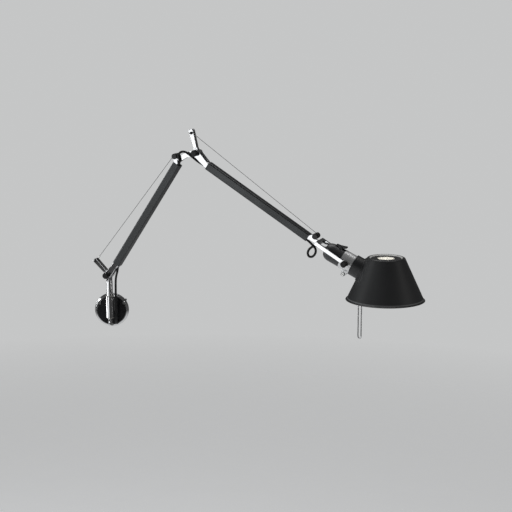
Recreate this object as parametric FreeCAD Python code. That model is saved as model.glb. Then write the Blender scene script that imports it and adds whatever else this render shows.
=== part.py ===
"""Articulating wall lamp: a wall plate, a swivelling stem, two sprung arms and a tilting shade.

Frame: +Z up, the wall is the plane Y = 0 and the lamp stands off it towards -Y.
The origin is the centre of the wall plate's back face. Millimetres and degrees.

The arms lie in one upright plane. Three drawing frames share its depth axis:
  plane   origin on the stem's axis at the plate's height, x outwards, y towards the wall, z up
  lower   origin at the shoulder pivot, x along the lower tube, z towards its tension wire
  upper   origin at the elbow pivot, x along the upper tube, z towards its tension wire
  head    origin at the tilt pivot, x along the lamp holder's axis, z out of its top
"""
import FreeCAD, Part
import math
import os

# wall plate
plate_r = 33.0
plate_depth = 7.0
plate_wall = 1.4
plate_face_r = 29.2
cover_r = 28.5
cover_thick = 2.2
cover_recess = 0.7
wall_screw_circle_r = 28.3
wall_screw_count = 3
wall_screw_r = 2.0
wall_screw_neck_r = 2.3
wall_screw_head_r = 3.2
wall_screw_head_high = 2.0
wall_screw_reach = 24.0
screw_slot = 0.8

# stem socket and the swivel
stand_off = 30.0
rest_swivel = 20.0
socket_r = 8.0
socket_low = -8.5
socket_high = 33.5
spigot_r = 4.0
spigot_low = -20.0
bush_wall = 1.6
bush_long = 9.0
bush_flange = 0.8
web_wide = 12.0
web_high = 26.0
web_mid_z = 14.0
foot_thick = 3.0
bracket_screw_r = 2.0
bracket_screw_gap = 15.0
bracket_screw_bite = 7.0
stem_r = 6.0

# pivots of the two arms
pivot_bolt_r = 2.5
hub_r = 6.5
tongue_half = 2.0
cheek_thick = 2.2
washer_thick = 0.5
leg_thick = 3.3
knob_r = 5.8
knob_long = 10.0
nut_r = 5.8
nut_long = 5.0
shoulder_z = 75.8

# arm tubes
tube_high = 14.5
tube_deep = 16.5
tube_wall = 1.2
tube_corner = 2.6
lower_tube_long = 234.1
lower_tube_start = 28.5
lower_tube_drop = 2.9
lower_rise = 56.66
upper_tube_long = 227.3
upper_tube_start = 30.8
upper_tube_drop = 7.3
upper_fall = 32.3
elbow_past_tube = 39.3
elbow_below_tube = 20.5
tilt_past_tube = 82.5
tilt_above_tube = 5.8
plug_long = 16.0
cable_way = 5.4
stub_half = 3.2

# levers, pulleys, wires and springs
lower_lever_long = 36.8
lower_lever_angle = 135.8
upper_lever_long = 37.0
upper_lever_angle = 103.9
lever_tip_r = 4.25
upper_lever_overhang = 3.4
lever_half = 5.0
lever_root_r = 3.6
lever_slot = 3.8
lever_pin_r = 1.5
bobbin_r = 3.5
wire_r = 0.4
pulley_past_tube = 10.0
pulley_off_axis = 10.4
pulley_wrap_r = 4.2
pulley_rim_r = 5.4
pulley_rim_half = 1.5
pulley_hub_r = 3.4
axle_r = 1.5
axle_cap_r = 5.2
axle_cap_out = 9.8
cheek_plate = 2.0
crimp_r = 1.1
crimp_long = 5.0
crimp_from_pin = 8.0
spring_r = 4.2
spring_wall = 1.1
spring_long = 128.0
spring_gap = 14.0
spring_eye_in = 4.0
spring_eye_up = 2.2

# head: fork, collar and housing
fork_gap = 35.0
fork_leg_thick = 4.5
fork_leg_half = 3.5
fork_boss_r = 6.4
fork_boss_out = 1.6
fork_bridge_from_tilt = 61.0
fork_bridge_thick = 6.0
tilt_bolt_r = 2.5
tilt_pad_r = 5.6
tilt_knob_long = 7.2
head_fall = 26.0
collar_r = 16.9
collar_half = 11.0
collar_bore = 14.6
housing_r = 16.5
housing_back = 31.0
housing_wall = 1.6
cap_back = 45.5
cap_tip_r = 8.0
lug_reach = 26.5
lug_at = 3.4
lug_root_half = 7.5
lug_tip_half = 4.0
lug_gap = 8.0
lug_ear = 3.4
clamp_screw_r = 2.0
clamp_head_r = 3.6
paddle_wide = 9.0
paddle_rear = 31.5
paddle_front = 12.0
paddle_rise = 6.3

# lamp holder and bulb
holder_r = 12.4
holder_back = -6.0
holder_front = 33.0
holder_bore = 7.4
bulb_cap_r = 6.9
bulb_ball_r = 22.0
bulb_ball_at = 76.0

# shade, placed from the tilt pivot
shade_forward = 68.93
shade_rise = 12.115
shade_tall = 75.5
shade_top_r = 33.0
shade_rim_r = 68.2
shade_wall = 1.2
shade_edge = 2.0
shade_lip = 1.8
shade_hole_r = 14.5
shade_dish = 1.6
neck_r = 19.0
neck_wall = 1.6
neck_sleeve_r = 14.4
neck_sleeve_wall = 1.2
neck_sleeve_back = 1.0
neck_front = 40.0
saddle_r = 21.6
handle_r = 1.0
handle_half = 2.8
handle_forward = 23.53
handle_drop = 137.285

# supply cable
cable_r = 2.1
gland_r = 3.3
gland_long = 5.0
gland_x = 10.8
gland_z = -23.5
terminal_wide = 20.0
terminal_high = 9.0
terminal_deep = 4.0
terminal_z = -13.0
terminal_pitch = 6.2
terminal_well_r = 1.7

# fits between pieces
slip = 0.05
gap = 0.3
touch = 0.1

NODES = {}


def vec(x, y, z):
    return FreeCAD.Vector(x, y, z)


def turn_about(axis, degrees):
    return FreeCAD.Rotation(axis, degrees)


# ---------------------------------------------------------------- frames
PLANE = FreeCAD.Placement(vec(0, -stand_off, 0), turn_about(vec(0, 0, 1), -rest_swivel))


def in_plane(x, z, angle):
    """Frame whose x axis rises by angle in the arms' plane, placed at (x, z) of the plane frame."""
    local = FreeCAD.Placement(vec(x, 0, z), turn_about(vec(0, -1, 0), angle))
    return PLANE.multiply(local)


def along(x, z, angle, far, off):
    """Point of the plane frame that lies far along and off across a direction from (x, z)."""
    c = math.cos(math.radians(angle))
    s = math.sin(math.radians(angle))
    return x + far * c - off * s, z + far * s + off * c


lower_tube_end = lower_tube_start + lower_tube_long
upper_tube_end = upper_tube_start + upper_tube_long
elbow = along(
    0,
    shoulder_z,
    lower_rise,
    lower_tube_end + elbow_past_tube,
    -lower_tube_drop - elbow_below_tube,
)
tilt = along(
    elbow[0],
    elbow[1],
    -upper_fall,
    upper_tube_end + tilt_past_tube,
    -upper_tube_drop + tilt_above_tube,
)
LOWER = in_plane(0, shoulder_z, lower_rise)
UPPER = in_plane(elbow[0], elbow[1], -upper_fall)
HEAD = in_plane(tilt[0], tilt[1], -head_fall)
shade_mid = tilt[0] + shade_forward
shade_top_z = tilt[1] + shade_rise
shade_rim_z = shade_top_z - shade_tall
handle_u = tilt[0] + handle_forward
handle_low_z = tilt[1] - handle_drop


# ---------------------------------------------------------------- shapes
def rod(start, end, radius):
    axis = end - start
    return Part.makeCylinder(radius, axis.Length, start, axis)


def sleeve(start, end, outer, inner):
    return rod(start, end, outer).cut(rod(start, end, inner))


def block(x0, x1, y0, y1, z0, z1):
    return Part.makeBox(x1 - x0, y1 - y0, z1 - z0, vec(x0, y0, z0))


def union(first, *others):
    return first.fuse(list(others)).removeSplitter()


def turned(profile, axis_from=vec(0, 0, 0), axis=vec(1, 0, 0), out=vec(0, 0, 1)):
    """Solid of revolution from (along, radius) points."""
    points = [axis_from + axis * a + out * r for a, r in profile]
    face = Part.Face(Part.makePolygon(points + points[:1]))
    return face.revolve(axis_from, axis, 360)


def link(a, ra, b, rb, y0, y1, edge=0.0):
    """Flat bar round two circles a and b of the x-z plane, from depth y0 to y1, edges rounded."""
    ax, az = a
    bx, bz = b
    long = math.hypot(bx - ax, bz - az)
    heading = math.atan2(bz - az, bx - ax)
    lean = math.acos((ra - rb) / long)

    def on(cx, cz, r, angle):
        return vec(cx + r * math.cos(angle), y0, cz + r * math.sin(angle))

    a1 = on(ax, az, ra, heading + lean)
    a2 = on(ax, az, ra, heading - lean)
    b1 = on(bx, bz, rb, heading + lean)
    b2 = on(bx, bz, rb, heading - lean)
    outline = [
        Part.Arc(a1, on(ax, az, ra, heading + math.pi), a2).toShape(),
        Part.makeLine(a2, b2),
        Part.Arc(b2, on(bx, bz, rb, heading), b1).toShape(),
        Part.makeLine(b1, a1),
    ]
    bar = Part.Face(Part.Wire(outline)).extrude(vec(0, y1 - y0, 0))
    if edge > 0:
        rims = [e for e in bar.Edges if e.BoundBox.YLength < 1e-6]
        bar = bar.makeFillet(edge, rims)
    return bar


def rounded_bar(x0, x1, deep, high, corner, mid_z):
    bar = block(x0, x1, -deep / 2, deep / 2, mid_z - high / 2, mid_z + high / 2)
    long_edges = [e for e in bar.Edges if e.BoundBox.XLength > (x1 - x0) / 2]
    return bar.makeFillet(corner, long_edges)


def across(x, z, y0, y1, radius):
    """Round bar along the depth axis."""
    return rod(vec(x, y0, z), vec(x, y1, z), radius)


def mirrored_in_depth(shape):
    return shape.mirror(vec(0, 0, 0), vec(0, 1, 0))


def slotted_head(at, out, radius, high):
    """Round screw head with a straight slot and an eased edge, standing on a point."""
    head = turned(
        [(0, 0), (0, radius), (high * 0.6, radius), (high, radius * 0.75), (high, 0)],
        at,
        out,
        side_of(out),
    )
    across_slot = side_of(out)
    lie = FreeCAD.Rotation(across_slot, out.cross(across_slot), out, "ZXY")
    slot = block(-radius, radius, -screw_slot / 2, screw_slot / 2, high * 0.45, high)
    slot.Placement = FreeCAD.Placement(at, lie)
    return head.cut(slot)


def side_of(direction):
    """A unit direction square to the given one."""
    other = vec(0, 0, 1) if abs(direction.z) < 0.9 else vec(1, 0, 0)
    side = direction.cross(other)
    return side.normalize()


def knurled(at, out, radius, long, flutes, depth, bevel):
    """Round knob along out with shallow flutes, bevelled at its free end."""
    body = turned(
        [(0, 0), (0, radius), (long - bevel, radius), (long, radius - bevel), (long, 0)],
        at,
        out,
        side_of(out),
    )
    grooves = []
    for i in range(flutes):
        way = turn_about(out, 360 * i / flutes).multVec(side_of(out))
        start = at + way * (radius + depth) + out * (long * 0.15)
        grooves.append(rod(start, start + out * long, depth * 1.8))
    return body.cut(grooves)


def bent_tube(points, radius, label):
    """Round tube along straight runs joined by arcs as large as the runs allow."""
    runs = [points[i + 1] - points[i] for i in range(len(points) - 1)]
    edges = []
    start = points[0]
    radii = []
    for i in range(1, len(points) - 1):
        into = vec(*runs[i - 1]).normalize()
        out = vec(*runs[i]).normalize()
        turn = into.getAngle(out)
        setback = 0.45 * min(runs[i - 1].Length, runs[i].Length)
        radii.append(setback / math.tan(turn / 2))
        first = points[i] - into * setback
        last = points[i] + out * setback
        centre_way = (out - into).normalize()
        sag = radii[-1] * (1 / math.cos(turn / 2) - 1)
        edges.append(Part.makeLine(start, first))
        edges.append(Part.Arc(first, points[i] + centre_way * sag, last).toShape())
        start = last
    edges.append(Part.makeLine(start, points[-1]))
    path = Part.Wire(edges)
    section = Part.Wire(Part.makeCircle(radius, points[0], runs[0]))
    tube = path.makePipeShell([section], True, False)
    share = tube.Volume / (math.pi * radius**2 * path.Length)
    print(f"{label}: radii {min(radii):.1f} to {max(radii):.1f} mm, volume share {share:.4f}")
    return tube


def keep(name, shape, frame=None):
    """Stores a piece, moved from its drawing frame into the lamp's frame."""
    whole = shape.copy()
    if frame is not None:
        whole.Placement = frame.multiply(whole.Placement)
    NODES[name] = whole


# ---------------------------------------------------------------- wall plate
cover_back = plate_depth - cover_recess
cover_front = cover_back + cover_thick
screw_seat = plate_depth - cover_recess - wall_screw_head_high
OUT = vec(0, -1, 0)


def screw_spots():
    for i in range(wall_screw_count):
        angle = math.radians(30 + 360 * i / wall_screw_count)
        yield wall_screw_circle_r * math.cos(angle), wall_screw_circle_r * math.sin(angle)


def bracket_screw_spots():
    for side in (-1, 1):
        yield 0, web_mid_z + side * bracket_screw_gap / 2


def wall_plate():
    skin = [
        (0, 0),
        (0, plate_r),
        (2.4, plate_r),
        (4.2, plate_r - 0.7),
        (plate_depth - 0.5, plate_face_r + 0.9),
        (plate_depth, plate_face_r),
        (plate_depth, cover_r + touch),
        (cover_back, cover_r + touch),
        (cover_back, 0),
    ]
    inner = plate_r - plate_wall
    hollow = [
        (0, 0),
        (0, inner),
        (2.0, inner),
        (cover_back - plate_wall, cover_r - 2.0),
        (cover_back - plate_wall, 0),
    ]
    solid = turned(skin, axis=OUT)
    dish = solid.cut(turned(hollow, axis=OUT))
    bosses = [rod(vec(x, 0, z), vec(x, -plate_depth, z), wall_screw_head_r + 1.6) for x, z in screw_spots()]
    dish = union(dish, *[boss.common(solid) for boss in bosses])
    holes = []
    for x, z in screw_spots():
        holes.append(rod(vec(x, 1, z), vec(x, -plate_depth, z), wall_screw_neck_r + touch))
        holes.append(rod(vec(x, -screw_seat, z), vec(x, -cover_front, z), wall_screw_head_r + gap))
    for x, z in bracket_screw_spots():
        holes.append(rod(vec(x, 0, z), vec(x, -cover_back, z), bracket_screw_r + touch))
    holes.append(rod(vec(gland_x, 0, gland_z), vec(gland_x, -cover_front, gland_z), gland_r - 0.8 + touch))
    keep("wall_plate", dish.cut(holes))


def plate_cover():
    disc = turned(
        [
            (cover_back, 0),
            (cover_back, cover_r),
            (cover_front - 0.8, cover_r),
            (cover_front, cover_r - 0.8),
            (cover_front, 0),
        ],
        axis=OUT,
    )
    holes = []
    for x, z in screw_spots():
        holes.append(rod(vec(x, 0, z), vec(x, -cover_front, z), wall_screw_head_r + 2 * gap))
    for x, z in bracket_screw_spots():
        holes.append(rod(vec(x, 0, z), vec(x, -cover_front, z), bracket_screw_r + touch))
    holes.append(rod(vec(gland_x, 0, gland_z), vec(gland_x, -cover_front, gland_z), gland_r - 0.8 + touch))
    keep("plate_cover", disc.cut(holes))


def plate_screws():
    screws = []
    for x, z in screw_spots():
        seat = vec(x, -screw_seat, z)
        head = slotted_head(seat, OUT, wall_screw_head_r, wall_screw_head_high + cover_recess)
        neck = rod(vec(x, 0, z), seat, wall_screw_neck_r)
        thread = rod(vec(x, wall_screw_reach, z), vec(x, 0, z), wall_screw_r)
        tip = Part.makeCone(wall_screw_r, 0.4, 3, vec(x, wall_screw_reach, z), vec(0, 1, 0))
        screws.append(union(head, neck, thread, tip))
    keep("plate_screws", Part.makeCompound(screws))


def socket_bracket():
    """Round socket for the stem on a web, with a foot that is screwed to the plate from behind."""
    bore = spigot_r + slip + bush_wall
    socket = sleeve(vec(0, 0, socket_low), vec(0, 0, socket_high), socket_r, bore)
    web_low = web_mid_z - web_high / 2
    web_top = web_mid_z + web_high / 2
    foot_front = cover_front - stand_off
    web = block(-web_wide / 2, web_wide / 2, socket_r * 0.6, -foot_front, web_low, web_top)
    upright = [e for e in web.Edges if e.BoundBox.YLength > web.BoundBox.YLength / 2]
    web = web.makeFillet(2.0, upright)
    foot = block(
        -web_wide / 2 - 3,
        web_wide / 2 + 3,
        -foot_front - foot_thick,
        -foot_front,
        web_low - 2,
        web_top + 2,
    )
    corners = [e for e in foot.Edges if e.BoundBox.YLength > foot_thick / 2]
    foot = foot.makeFillet(3.0, corners)
    body = union(socket, web.cut(rod(vec(0, 0, web_low), vec(0, 0, web_top), bore + 1)), foot)
    body = body.cut(rod(vec(0, 0, socket_low - 1), vec(0, 0, socket_high + 1), bore))
    back = -foot_front
    holes = []
    for x, z in bracket_screw_spots():
        holes.append(rod(vec(x, back, z), vec(x, back - bracket_screw_bite - 1, z), bracket_screw_r + touch))
    body = body.cut(holes)
    body.translate(vec(0, -stand_off, 0))
    keep("socket_bracket", body)


def bracket_screws():
    screws = []
    inside = cover_back - plate_wall
    for x, z in bracket_screw_spots():
        head = slotted_head(vec(x, -inside, z), vec(0, 1, 0), bracket_screw_r + 1.6, 2.2)
        shank = rod(vec(x, -inside, z), vec(x, -cover_front - bracket_screw_bite, z), bracket_screw_r)
        screws.append(union(head, shank))
    keep("bracket_screws", Part.makeCompound(screws))


def socket_bushes():
    outer = spigot_r + slip + bush_wall
    inner = spigot_r + slip
    bushes = []
    for end, way in ((socket_low, 1), (socket_high, -1)):
        bush = union(
            sleeve(vec(0, 0, end), vec(0, 0, end + way * bush_long), outer - 0.02, inner),
            sleeve(vec(0, 0, end), vec(0, 0, end - way * bush_flange), socket_r - 0.6, inner),
        )
        bush.translate(vec(0, -stand_off, 0))
        bushes.append(bush)
    keep("socket_bushes", Part.makeCompound(bushes))


def cable_gland():
    neck = gland_r - 0.8
    inside = cover_back - plate_wall - 1.5
    body = turned(
        [
            (inside, cable_r + touch),
            (inside, neck),
            (cover_front, neck),
            (cover_front, gland_r),
            (cover_front + gland_long - 1.2, gland_r),
            (cover_front + gland_long, gland_r - 0.8),
            (cover_front + gland_long, cable_r + touch),
        ],
        vec(gland_x, 0, gland_z),
        OUT,
    )
    keep("cable_gland", body)


def terminal_block():
    """Three-way screw terminal, stuck to the dish's inner face."""
    half_wide = terminal_wide / 2
    low = terminal_z - terminal_high / 2
    ceiling = cover_back - plate_wall
    body = block(-half_wide, half_wide, -ceiling, -ceiling + terminal_deep, low, low + terminal_high)
    wells = []
    for i in (-1, 0, 1):
        x = i * terminal_pitch
        wells.append(rod(vec(x, 0, terminal_z), vec(x, -ceiling + 1.2, terminal_z), terminal_well_r))
    keep("terminal_block", body.cut(wells))


# ---------------------------------------------------------------- pivots shared by both arms
cheek_out = tongue_half + cheek_thick
leg_in = cheek_out + washer_thick
leg_out = leg_in + leg_thick


def pivot_bolt(frame, name):
    """Bolt through tongue, cheeks and legs. A flange nut closes it behind, a knob in front."""
    near = -leg_out - touch - knob_long + 1.5
    far = leg_out + touch + nut_long - 1.0
    keep(name, across(0, 0, near, far, pivot_bolt_r), frame)


def pivot_washers(frame, name):
    rings = []
    for side in (-1, 1):
        ring = sleeve(vec(0, 0, 0), vec(0, side * washer_thick, 0), hub_r - 0.4, pivot_bolt_r + slip)
        ring.translate(vec(0, side * cheek_out, 0))
        rings.append(ring)
    keep(name, Part.makeCompound(rings), frame)


def pivot_nut(frame, name):
    face = leg_out + touch
    nut = knurled(vec(0, face, 0), vec(0, 1, 0), nut_r, nut_long, 18, 0.35, 0.6)
    keep(name, nut.cut(across(0, 0, face - 1, face + nut_long - 0.9, pivot_bolt_r)), frame)


def pivot_knob(frame, name):
    face = -leg_out - touch
    knob = knurled(vec(0, face, 0), vec(0, -1, 0), knob_r, knob_long, 12, 0.5, 1.2)
    hole = across(0, 0, face + 1, face - knob_long + 1.4, pivot_bolt_r + slip)
    keep(name, knob.cut(hole), frame)


# ---------------------------------------------------------------- stem and levers
keeper_z = spigot_low + 6
keeper_r = 1.2
keeper_head_r = 2.2
keeper_seat = 0.6 - spigot_r


def stem():
    """One turned bar: spigot in the socket, a thicker rod above it, a flat tongue at the shoulder."""
    shoulder = socket_high + bush_flange + touch
    tongue_low = shoulder_z - hub_r - 6
    spigot = rod(vec(0, 0, spigot_low), vec(0, 0, shoulder), spigot_r)
    bar = rod(vec(0, 0, shoulder), vec(0, 0, tongue_low), stem_r)
    neck = Part.makeCone(stem_r, stem_r - 2, 2.5, vec(0, 0, tongue_low))
    tongue = link((0, tongue_low), stem_r - 0.8, (0, shoulder_z), hub_r - 0.5, -tongue_half, tongue_half)
    tongue = tongue.common(block(-20, 20, -20, 20, tongue_low - 0.5, shoulder_z + 20))
    solid = union(spigot, bar, neck, tongue)
    holes = [
        across(0, shoulder_z, -20, 20, pivot_bolt_r + slip),
        rod(vec(0, -20, keeper_z), vec(0, 0, keeper_z), keeper_r + slip),
        rod(vec(0, -20, keeper_z), vec(0, keeper_seat, keeper_z), keeper_head_r + slip),
    ]
    keep("stem", solid.cut(holes), PLANE)


def keeper_screw():
    """Small screw in the spigot's foot. Its head stops the stem from lifting out of the socket."""
    head = slotted_head(vec(0, keeper_seat, keeper_z), OUT, keeper_head_r, 1.6)
    shank = rod(vec(0, keeper_seat, keeper_z), vec(0, -0.2, keeper_z), keeper_r)
    keep("keeper_screw", union(head, shank), PLANE)


def lever(long, angle, overhang):
    """Lever with two cheeks round the pivot's tongue and a slotted tip for the wire's bobbin."""
    turn = turn_about(vec(0, -1, 0), angle)
    root = link((0, 0), hub_r - 0.5, (hub_r + 3, 0), lever_root_r, -cheek_out, cheek_out, 0.5)
    # the lever is full depth outside the circle that the arm's legs sweep
    wide_from = hub_r + lever_root_r + 1.5
    bar = link((wide_from, 0), lever_root_r, (long + overhang, 0), lever_tip_r, -lever_half, lever_half, 0.8)
    neck = link((hub_r + 3, 0), lever_root_r, (wide_from, 0), lever_root_r - 0.01, -cheek_out, cheek_out)
    body = union(root, neck, bar)
    slot_half = lever_slot / 2
    past = long + overhang + lever_tip_r + 1
    cuts = [
        across(0, 0, -20, 20, pivot_bolt_r + slip),
        across(long, 0, -20, 20, lever_pin_r + slip),
        block(long - lever_tip_r - 2.5, past, -slot_half, slot_half, -20, 20),
        block(-hub_r - 1, hub_r + 0.6, -tongue_half - slip, tongue_half + slip, -20, 20),
    ]
    body = body.cut(cuts)
    body.Placement = FreeCAD.Placement(vec(0, 0, 0), turn)
    return body


def lever_pin(long, angle, front_head):
    """Pin across the lever's tip, with a round head in front."""
    pin = union(
        across(long, 0, -lever_half - touch, lever_half, lever_pin_r),
        across(long, 0, -lever_half - touch - front_head, -lever_half - touch, lever_pin_r + 1.2),
    )
    pin.Placement = FreeCAD.Placement(vec(0, 0, 0), turn_about(vec(0, -1, 0), angle))
    return pin


def bobbin(long, angle):
    half = lever_slot / 2 - touch
    groove = bobbin_r - 1.0
    at = vec(long, 0, 0)
    body = turned(
        [
            (-half, lever_pin_r + slip),
            (-half, bobbin_r),
            (-half + 0.5, bobbin_r),
            (-0.5, groove),
            (0.5, groove),
            (half - 0.5, bobbin_r),
            (half, bobbin_r),
            (half, lever_pin_r + slip),
        ],
        at,
        vec(0, 1, 0),
        vec(0, 0, 1),
    )
    body.Placement = FreeCAD.Placement(vec(0, 0, 0), turn_about(vec(0, -1, 0), angle))
    return body


def wire_with_eye(pin, pulley, spring_end, label):
    """Steel wire in an arm's frame: an eye round the bobbin, a crimp, a run over the pulley
    and back to the spring. All its points lie in the plane y = 0."""
    eye_r = bobbin_r - 1.0 + wire_r + slip
    px, pz = pin
    cx, cz = pulley
    reach = math.hypot(cx - px, cz - pz)
    heading = math.atan2(cz - pz, cx - px)
    lift = math.asin(pulley_wrap_r / reach)
    way = heading + lift
    first = vec(px + crimp_from_pin * math.cos(way), 0, pz + crimp_from_pin * math.sin(way))
    top = vec(cx - pulley_wrap_r * math.sin(way), 0, cz + pulley_wrap_r * math.cos(way))
    sx, sz = spring_end
    back_reach = math.hypot(sx - cx, sz - cz)
    back_heading = math.atan2(sz - cz, sx - cx)
    back_way = back_heading - math.asin(pulley_wrap_r / back_reach)
    side = back_way + math.pi / 2
    low = vec(cx - pulley_wrap_r * math.cos(side) * -1, 0, cz + pulley_wrap_r * math.sin(side))
    mid_angle = (math.atan2(top.z - cz, top.x - cx) + math.atan2(low.z - cz, low.x - cx)) / 2
    mid = vec(cx + pulley_wrap_r * math.cos(mid_angle), 0, cz + pulley_wrap_r * math.sin(mid_angle))
    end = vec(sx, 0, sz)
    path = Part.Wire([
        Part.makeLine(first, top),
        Part.Arc(top, mid, low).toShape(),
        Part.makeLine(low, end),
    ])
    strand = path.makePipeShell([Part.Wire(Part.makeCircle(wire_r, first, top - first))], True, False)
    # the eye: most of a ring round the bobbin, closed by two legs that meet in the crimp
    ring = Part.makeTorus(eye_r, wire_r, vec(px, 0, pz), vec(0, 1, 0))
    legs = []
    spread = math.acos(eye_r / crimp_from_pin)
    for sign in (-1, 1):
        at = way + sign * spread
        foot = vec(px + eye_r * math.cos(at), 0, pz + eye_r * math.sin(at))
        legs.append(rod(foot, first, wire_r))
    back = (top - first).normalize()
    crimp = rod(first - back * 1.0, first + back * (crimp_long - 1.0), crimp_r)
    share = strand.Volume / (math.pi * wire_r**2 * path.Length)
    print(f"{label}: wire volume share {share:.4f}")
    return union(strand, ring, crimp, *legs)


def lever_set(frame, angle_in_frame, long, overhang, names, head):
    keep(names[0], lever(long, angle_in_frame, overhang), frame)
    keep(names[1], lever_pin(long, angle_in_frame, head), frame)
    keep(names[2], bobbin(long, angle_in_frame), frame)


# ---------------------------------------------------------------- arms
def arm_foot(start, drop, name, frame):
    """Fork foot of an arm: two legs on the pivot, a bridge at the tube's end, a plug inside it."""
    mid = -drop
    inner_high = tube_high - 2 * tube_wall
    inner_deep = tube_deep - 2 * tube_wall
    leg = link((0, 0), hub_r, (start - 1.0, mid), tube_high / 2 - 2.6, leg_in, leg_out, 0.5)
    leg = leg.common(block(-20, start, -20, 20, -40, 40))
    bridge = rounded_bar(start - 5, start, 2 * leg_out, tube_high - 3.4, 1.5, mid)
    plug = rounded_bar(
        start - 2,
        start + plug_long,
        inner_deep - 2 * slip,
        inner_high - 2 * slip,
        tube_corner - tube_wall,
        mid,
    )
    solid = union(leg, mirrored_in_depth(leg), bridge, plug)
    way_low = mid - inner_high / 2
    way_half = cable_r + 0.6
    eye = across(start + plug_long - spring_eye_in, mid + spring_eye_up, -20, 20, 0.8)
    cuts = [
        across(0, 0, -20, 20, pivot_bolt_r + slip),
        block(start - 20, start + plug_long + 1, -way_half, way_half, way_low - 5, way_low + cable_way),
        block(start + plug_long - 7, start + plug_long + 1, -1.6, 1.6, mid - 0.3, mid + 10),
    ]
    keep(name, union(solid.cut(cuts), eye.common(plug)), frame)


def arm_tube(start, long, drop, name, frame):
    outer = rounded_bar(start, start + long, tube_deep, tube_high, tube_corner, -drop)
    inner = rounded_bar(
        start,
        start + long,
        tube_deep - 2 * tube_wall,
        tube_high - 2 * tube_wall,
        tube_corner - tube_wall,
        -drop,
    )
    keep(name, outer.cut(inner), frame)


def spring_line(drop):
    """Height of the spring's axis: towards the wire, clear of the cable below it."""
    return -drop + 1.5


def arm_spring(start, drop, name, frame):
    """Extension spring, drawn as its closed envelope with a hook at each end."""
    z = spring_line(drop)
    first = start + plug_long + spring_gap
    last = first + spring_long
    coil = sleeve(vec(first, 0, z), vec(last, 0, z), spring_r, spring_r - spring_wall)
    eye_x = start + plug_long - spring_eye_in
    eye_z = -drop + spring_eye_up
    ends = []
    for x, way in ((first, 1), (last, -1)):
        ends.append(rod(vec(x, 0, z), vec(x + way * 1.5, 0, z), spring_r - 0.1))
    hook = rod(vec(eye_x + 1.6, 0, eye_z), vec(first + 0.5, 0, z), 0.6)
    ring = Part.makeTorus(1.6, 0.6, vec(eye_x, 0, eye_z), vec(0, 1, 0))
    tail = rod(vec(last - 0.5, 0, z), vec(last + 6, 0, z), 0.7)
    keep(name, union(coil, *ends, hook, ring, tail), frame)
    return last + 6, z


def pulley_at(tube_end, drop):
    return tube_end + pulley_past_tube, -drop + pulley_off_axis


def pulley(spot, name, frame):
    side = pulley_half_hub()
    groove = pulley_wrap_r - wire_r
    body = turned(
        [
            (-side, axle_r + slip),
            (-side, pulley_hub_r),
            (-pulley_rim_half, pulley_hub_r),
            (-pulley_rim_half, pulley_rim_r),
            (-wire_r - 0.3, pulley_rim_r),
            (-wire_r, groove),
            (wire_r, groove),
            (wire_r + 0.3, pulley_rim_r),
            (pulley_rim_half, pulley_rim_r),
            (pulley_rim_half, pulley_hub_r),
            (side, pulley_hub_r),
            (side, axle_r + slip),
        ],
        vec(spot[0], 0, spot[1]),
        vec(0, 1, 0),
        vec(0, 0, 1),
    )
    keep(name, body, frame)


def pulley_half_hub():
    return tube_deep / 2 - tube_wall - slip - cheek_plate - touch


def pulley_axle(spot, name, frame):
    """Axle pin with a round cap pressed on each end."""
    face = tube_deep / 2 - tube_wall - slip + touch
    pin = across(spot[0], spot[1], -face - 1, face + 1, axle_r)
    caps = []
    for side in (-1, 1):
        cap = turned(
            [
                (face, 0),
                (face, axle_cap_r),
                (axle_cap_out - 0.8, axle_cap_r),
                (axle_cap_out, axle_cap_r - 0.8),
                (axle_cap_out, 0),
            ],
            vec(spot[0], 0, spot[1]),
            vec(0, side, 0),
            vec(0, 0, 1),
        )
        caps.append(cap)
    keep(name, union(pin, *caps), frame)


def pulley_cheeks(tube_end, drop, spot):
    """Two side plates that come out of the tube's mouth and carry the pulley's axle."""
    outer = tube_deep / 2 - tube_wall - slip
    inner = outer - cheek_plate
    inner_high = tube_high / 2 - tube_wall - slip
    low = (tube_end + 1.0, -drop + 1.6)
    cheek = union(
        link(low, 3.0, spot, 4.2, inner, outer),
        block(tube_end - plug_long, tube_end, inner, outer, -drop - 1.2, -drop + inner_high - 1.4),
    )
    cheek = cheek.cut(across(spot[0], spot[1], -20, 20, axle_r + slip))
    # inside the tube the plate keeps clear of its corners
    inside = block(tube_end - plug_long - 1, tube_end + 0.2, -20, 20, -drop + inner_high - 1.4, -drop + 30)
    cheek = cheek.cut(inside)
    return [cheek, mirrored_in_depth(cheek)]


def mouth_tie(tube_end, mid):
    """Flat bar that ties the two cheeks, between the wire's way above it and the cable's below."""
    outer = tube_deep / 2 - tube_wall - slip
    return block(tube_end - plug_long, tube_end + 3.5, -outer, outer, mid - 1.2, mid + 1.2)


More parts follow.
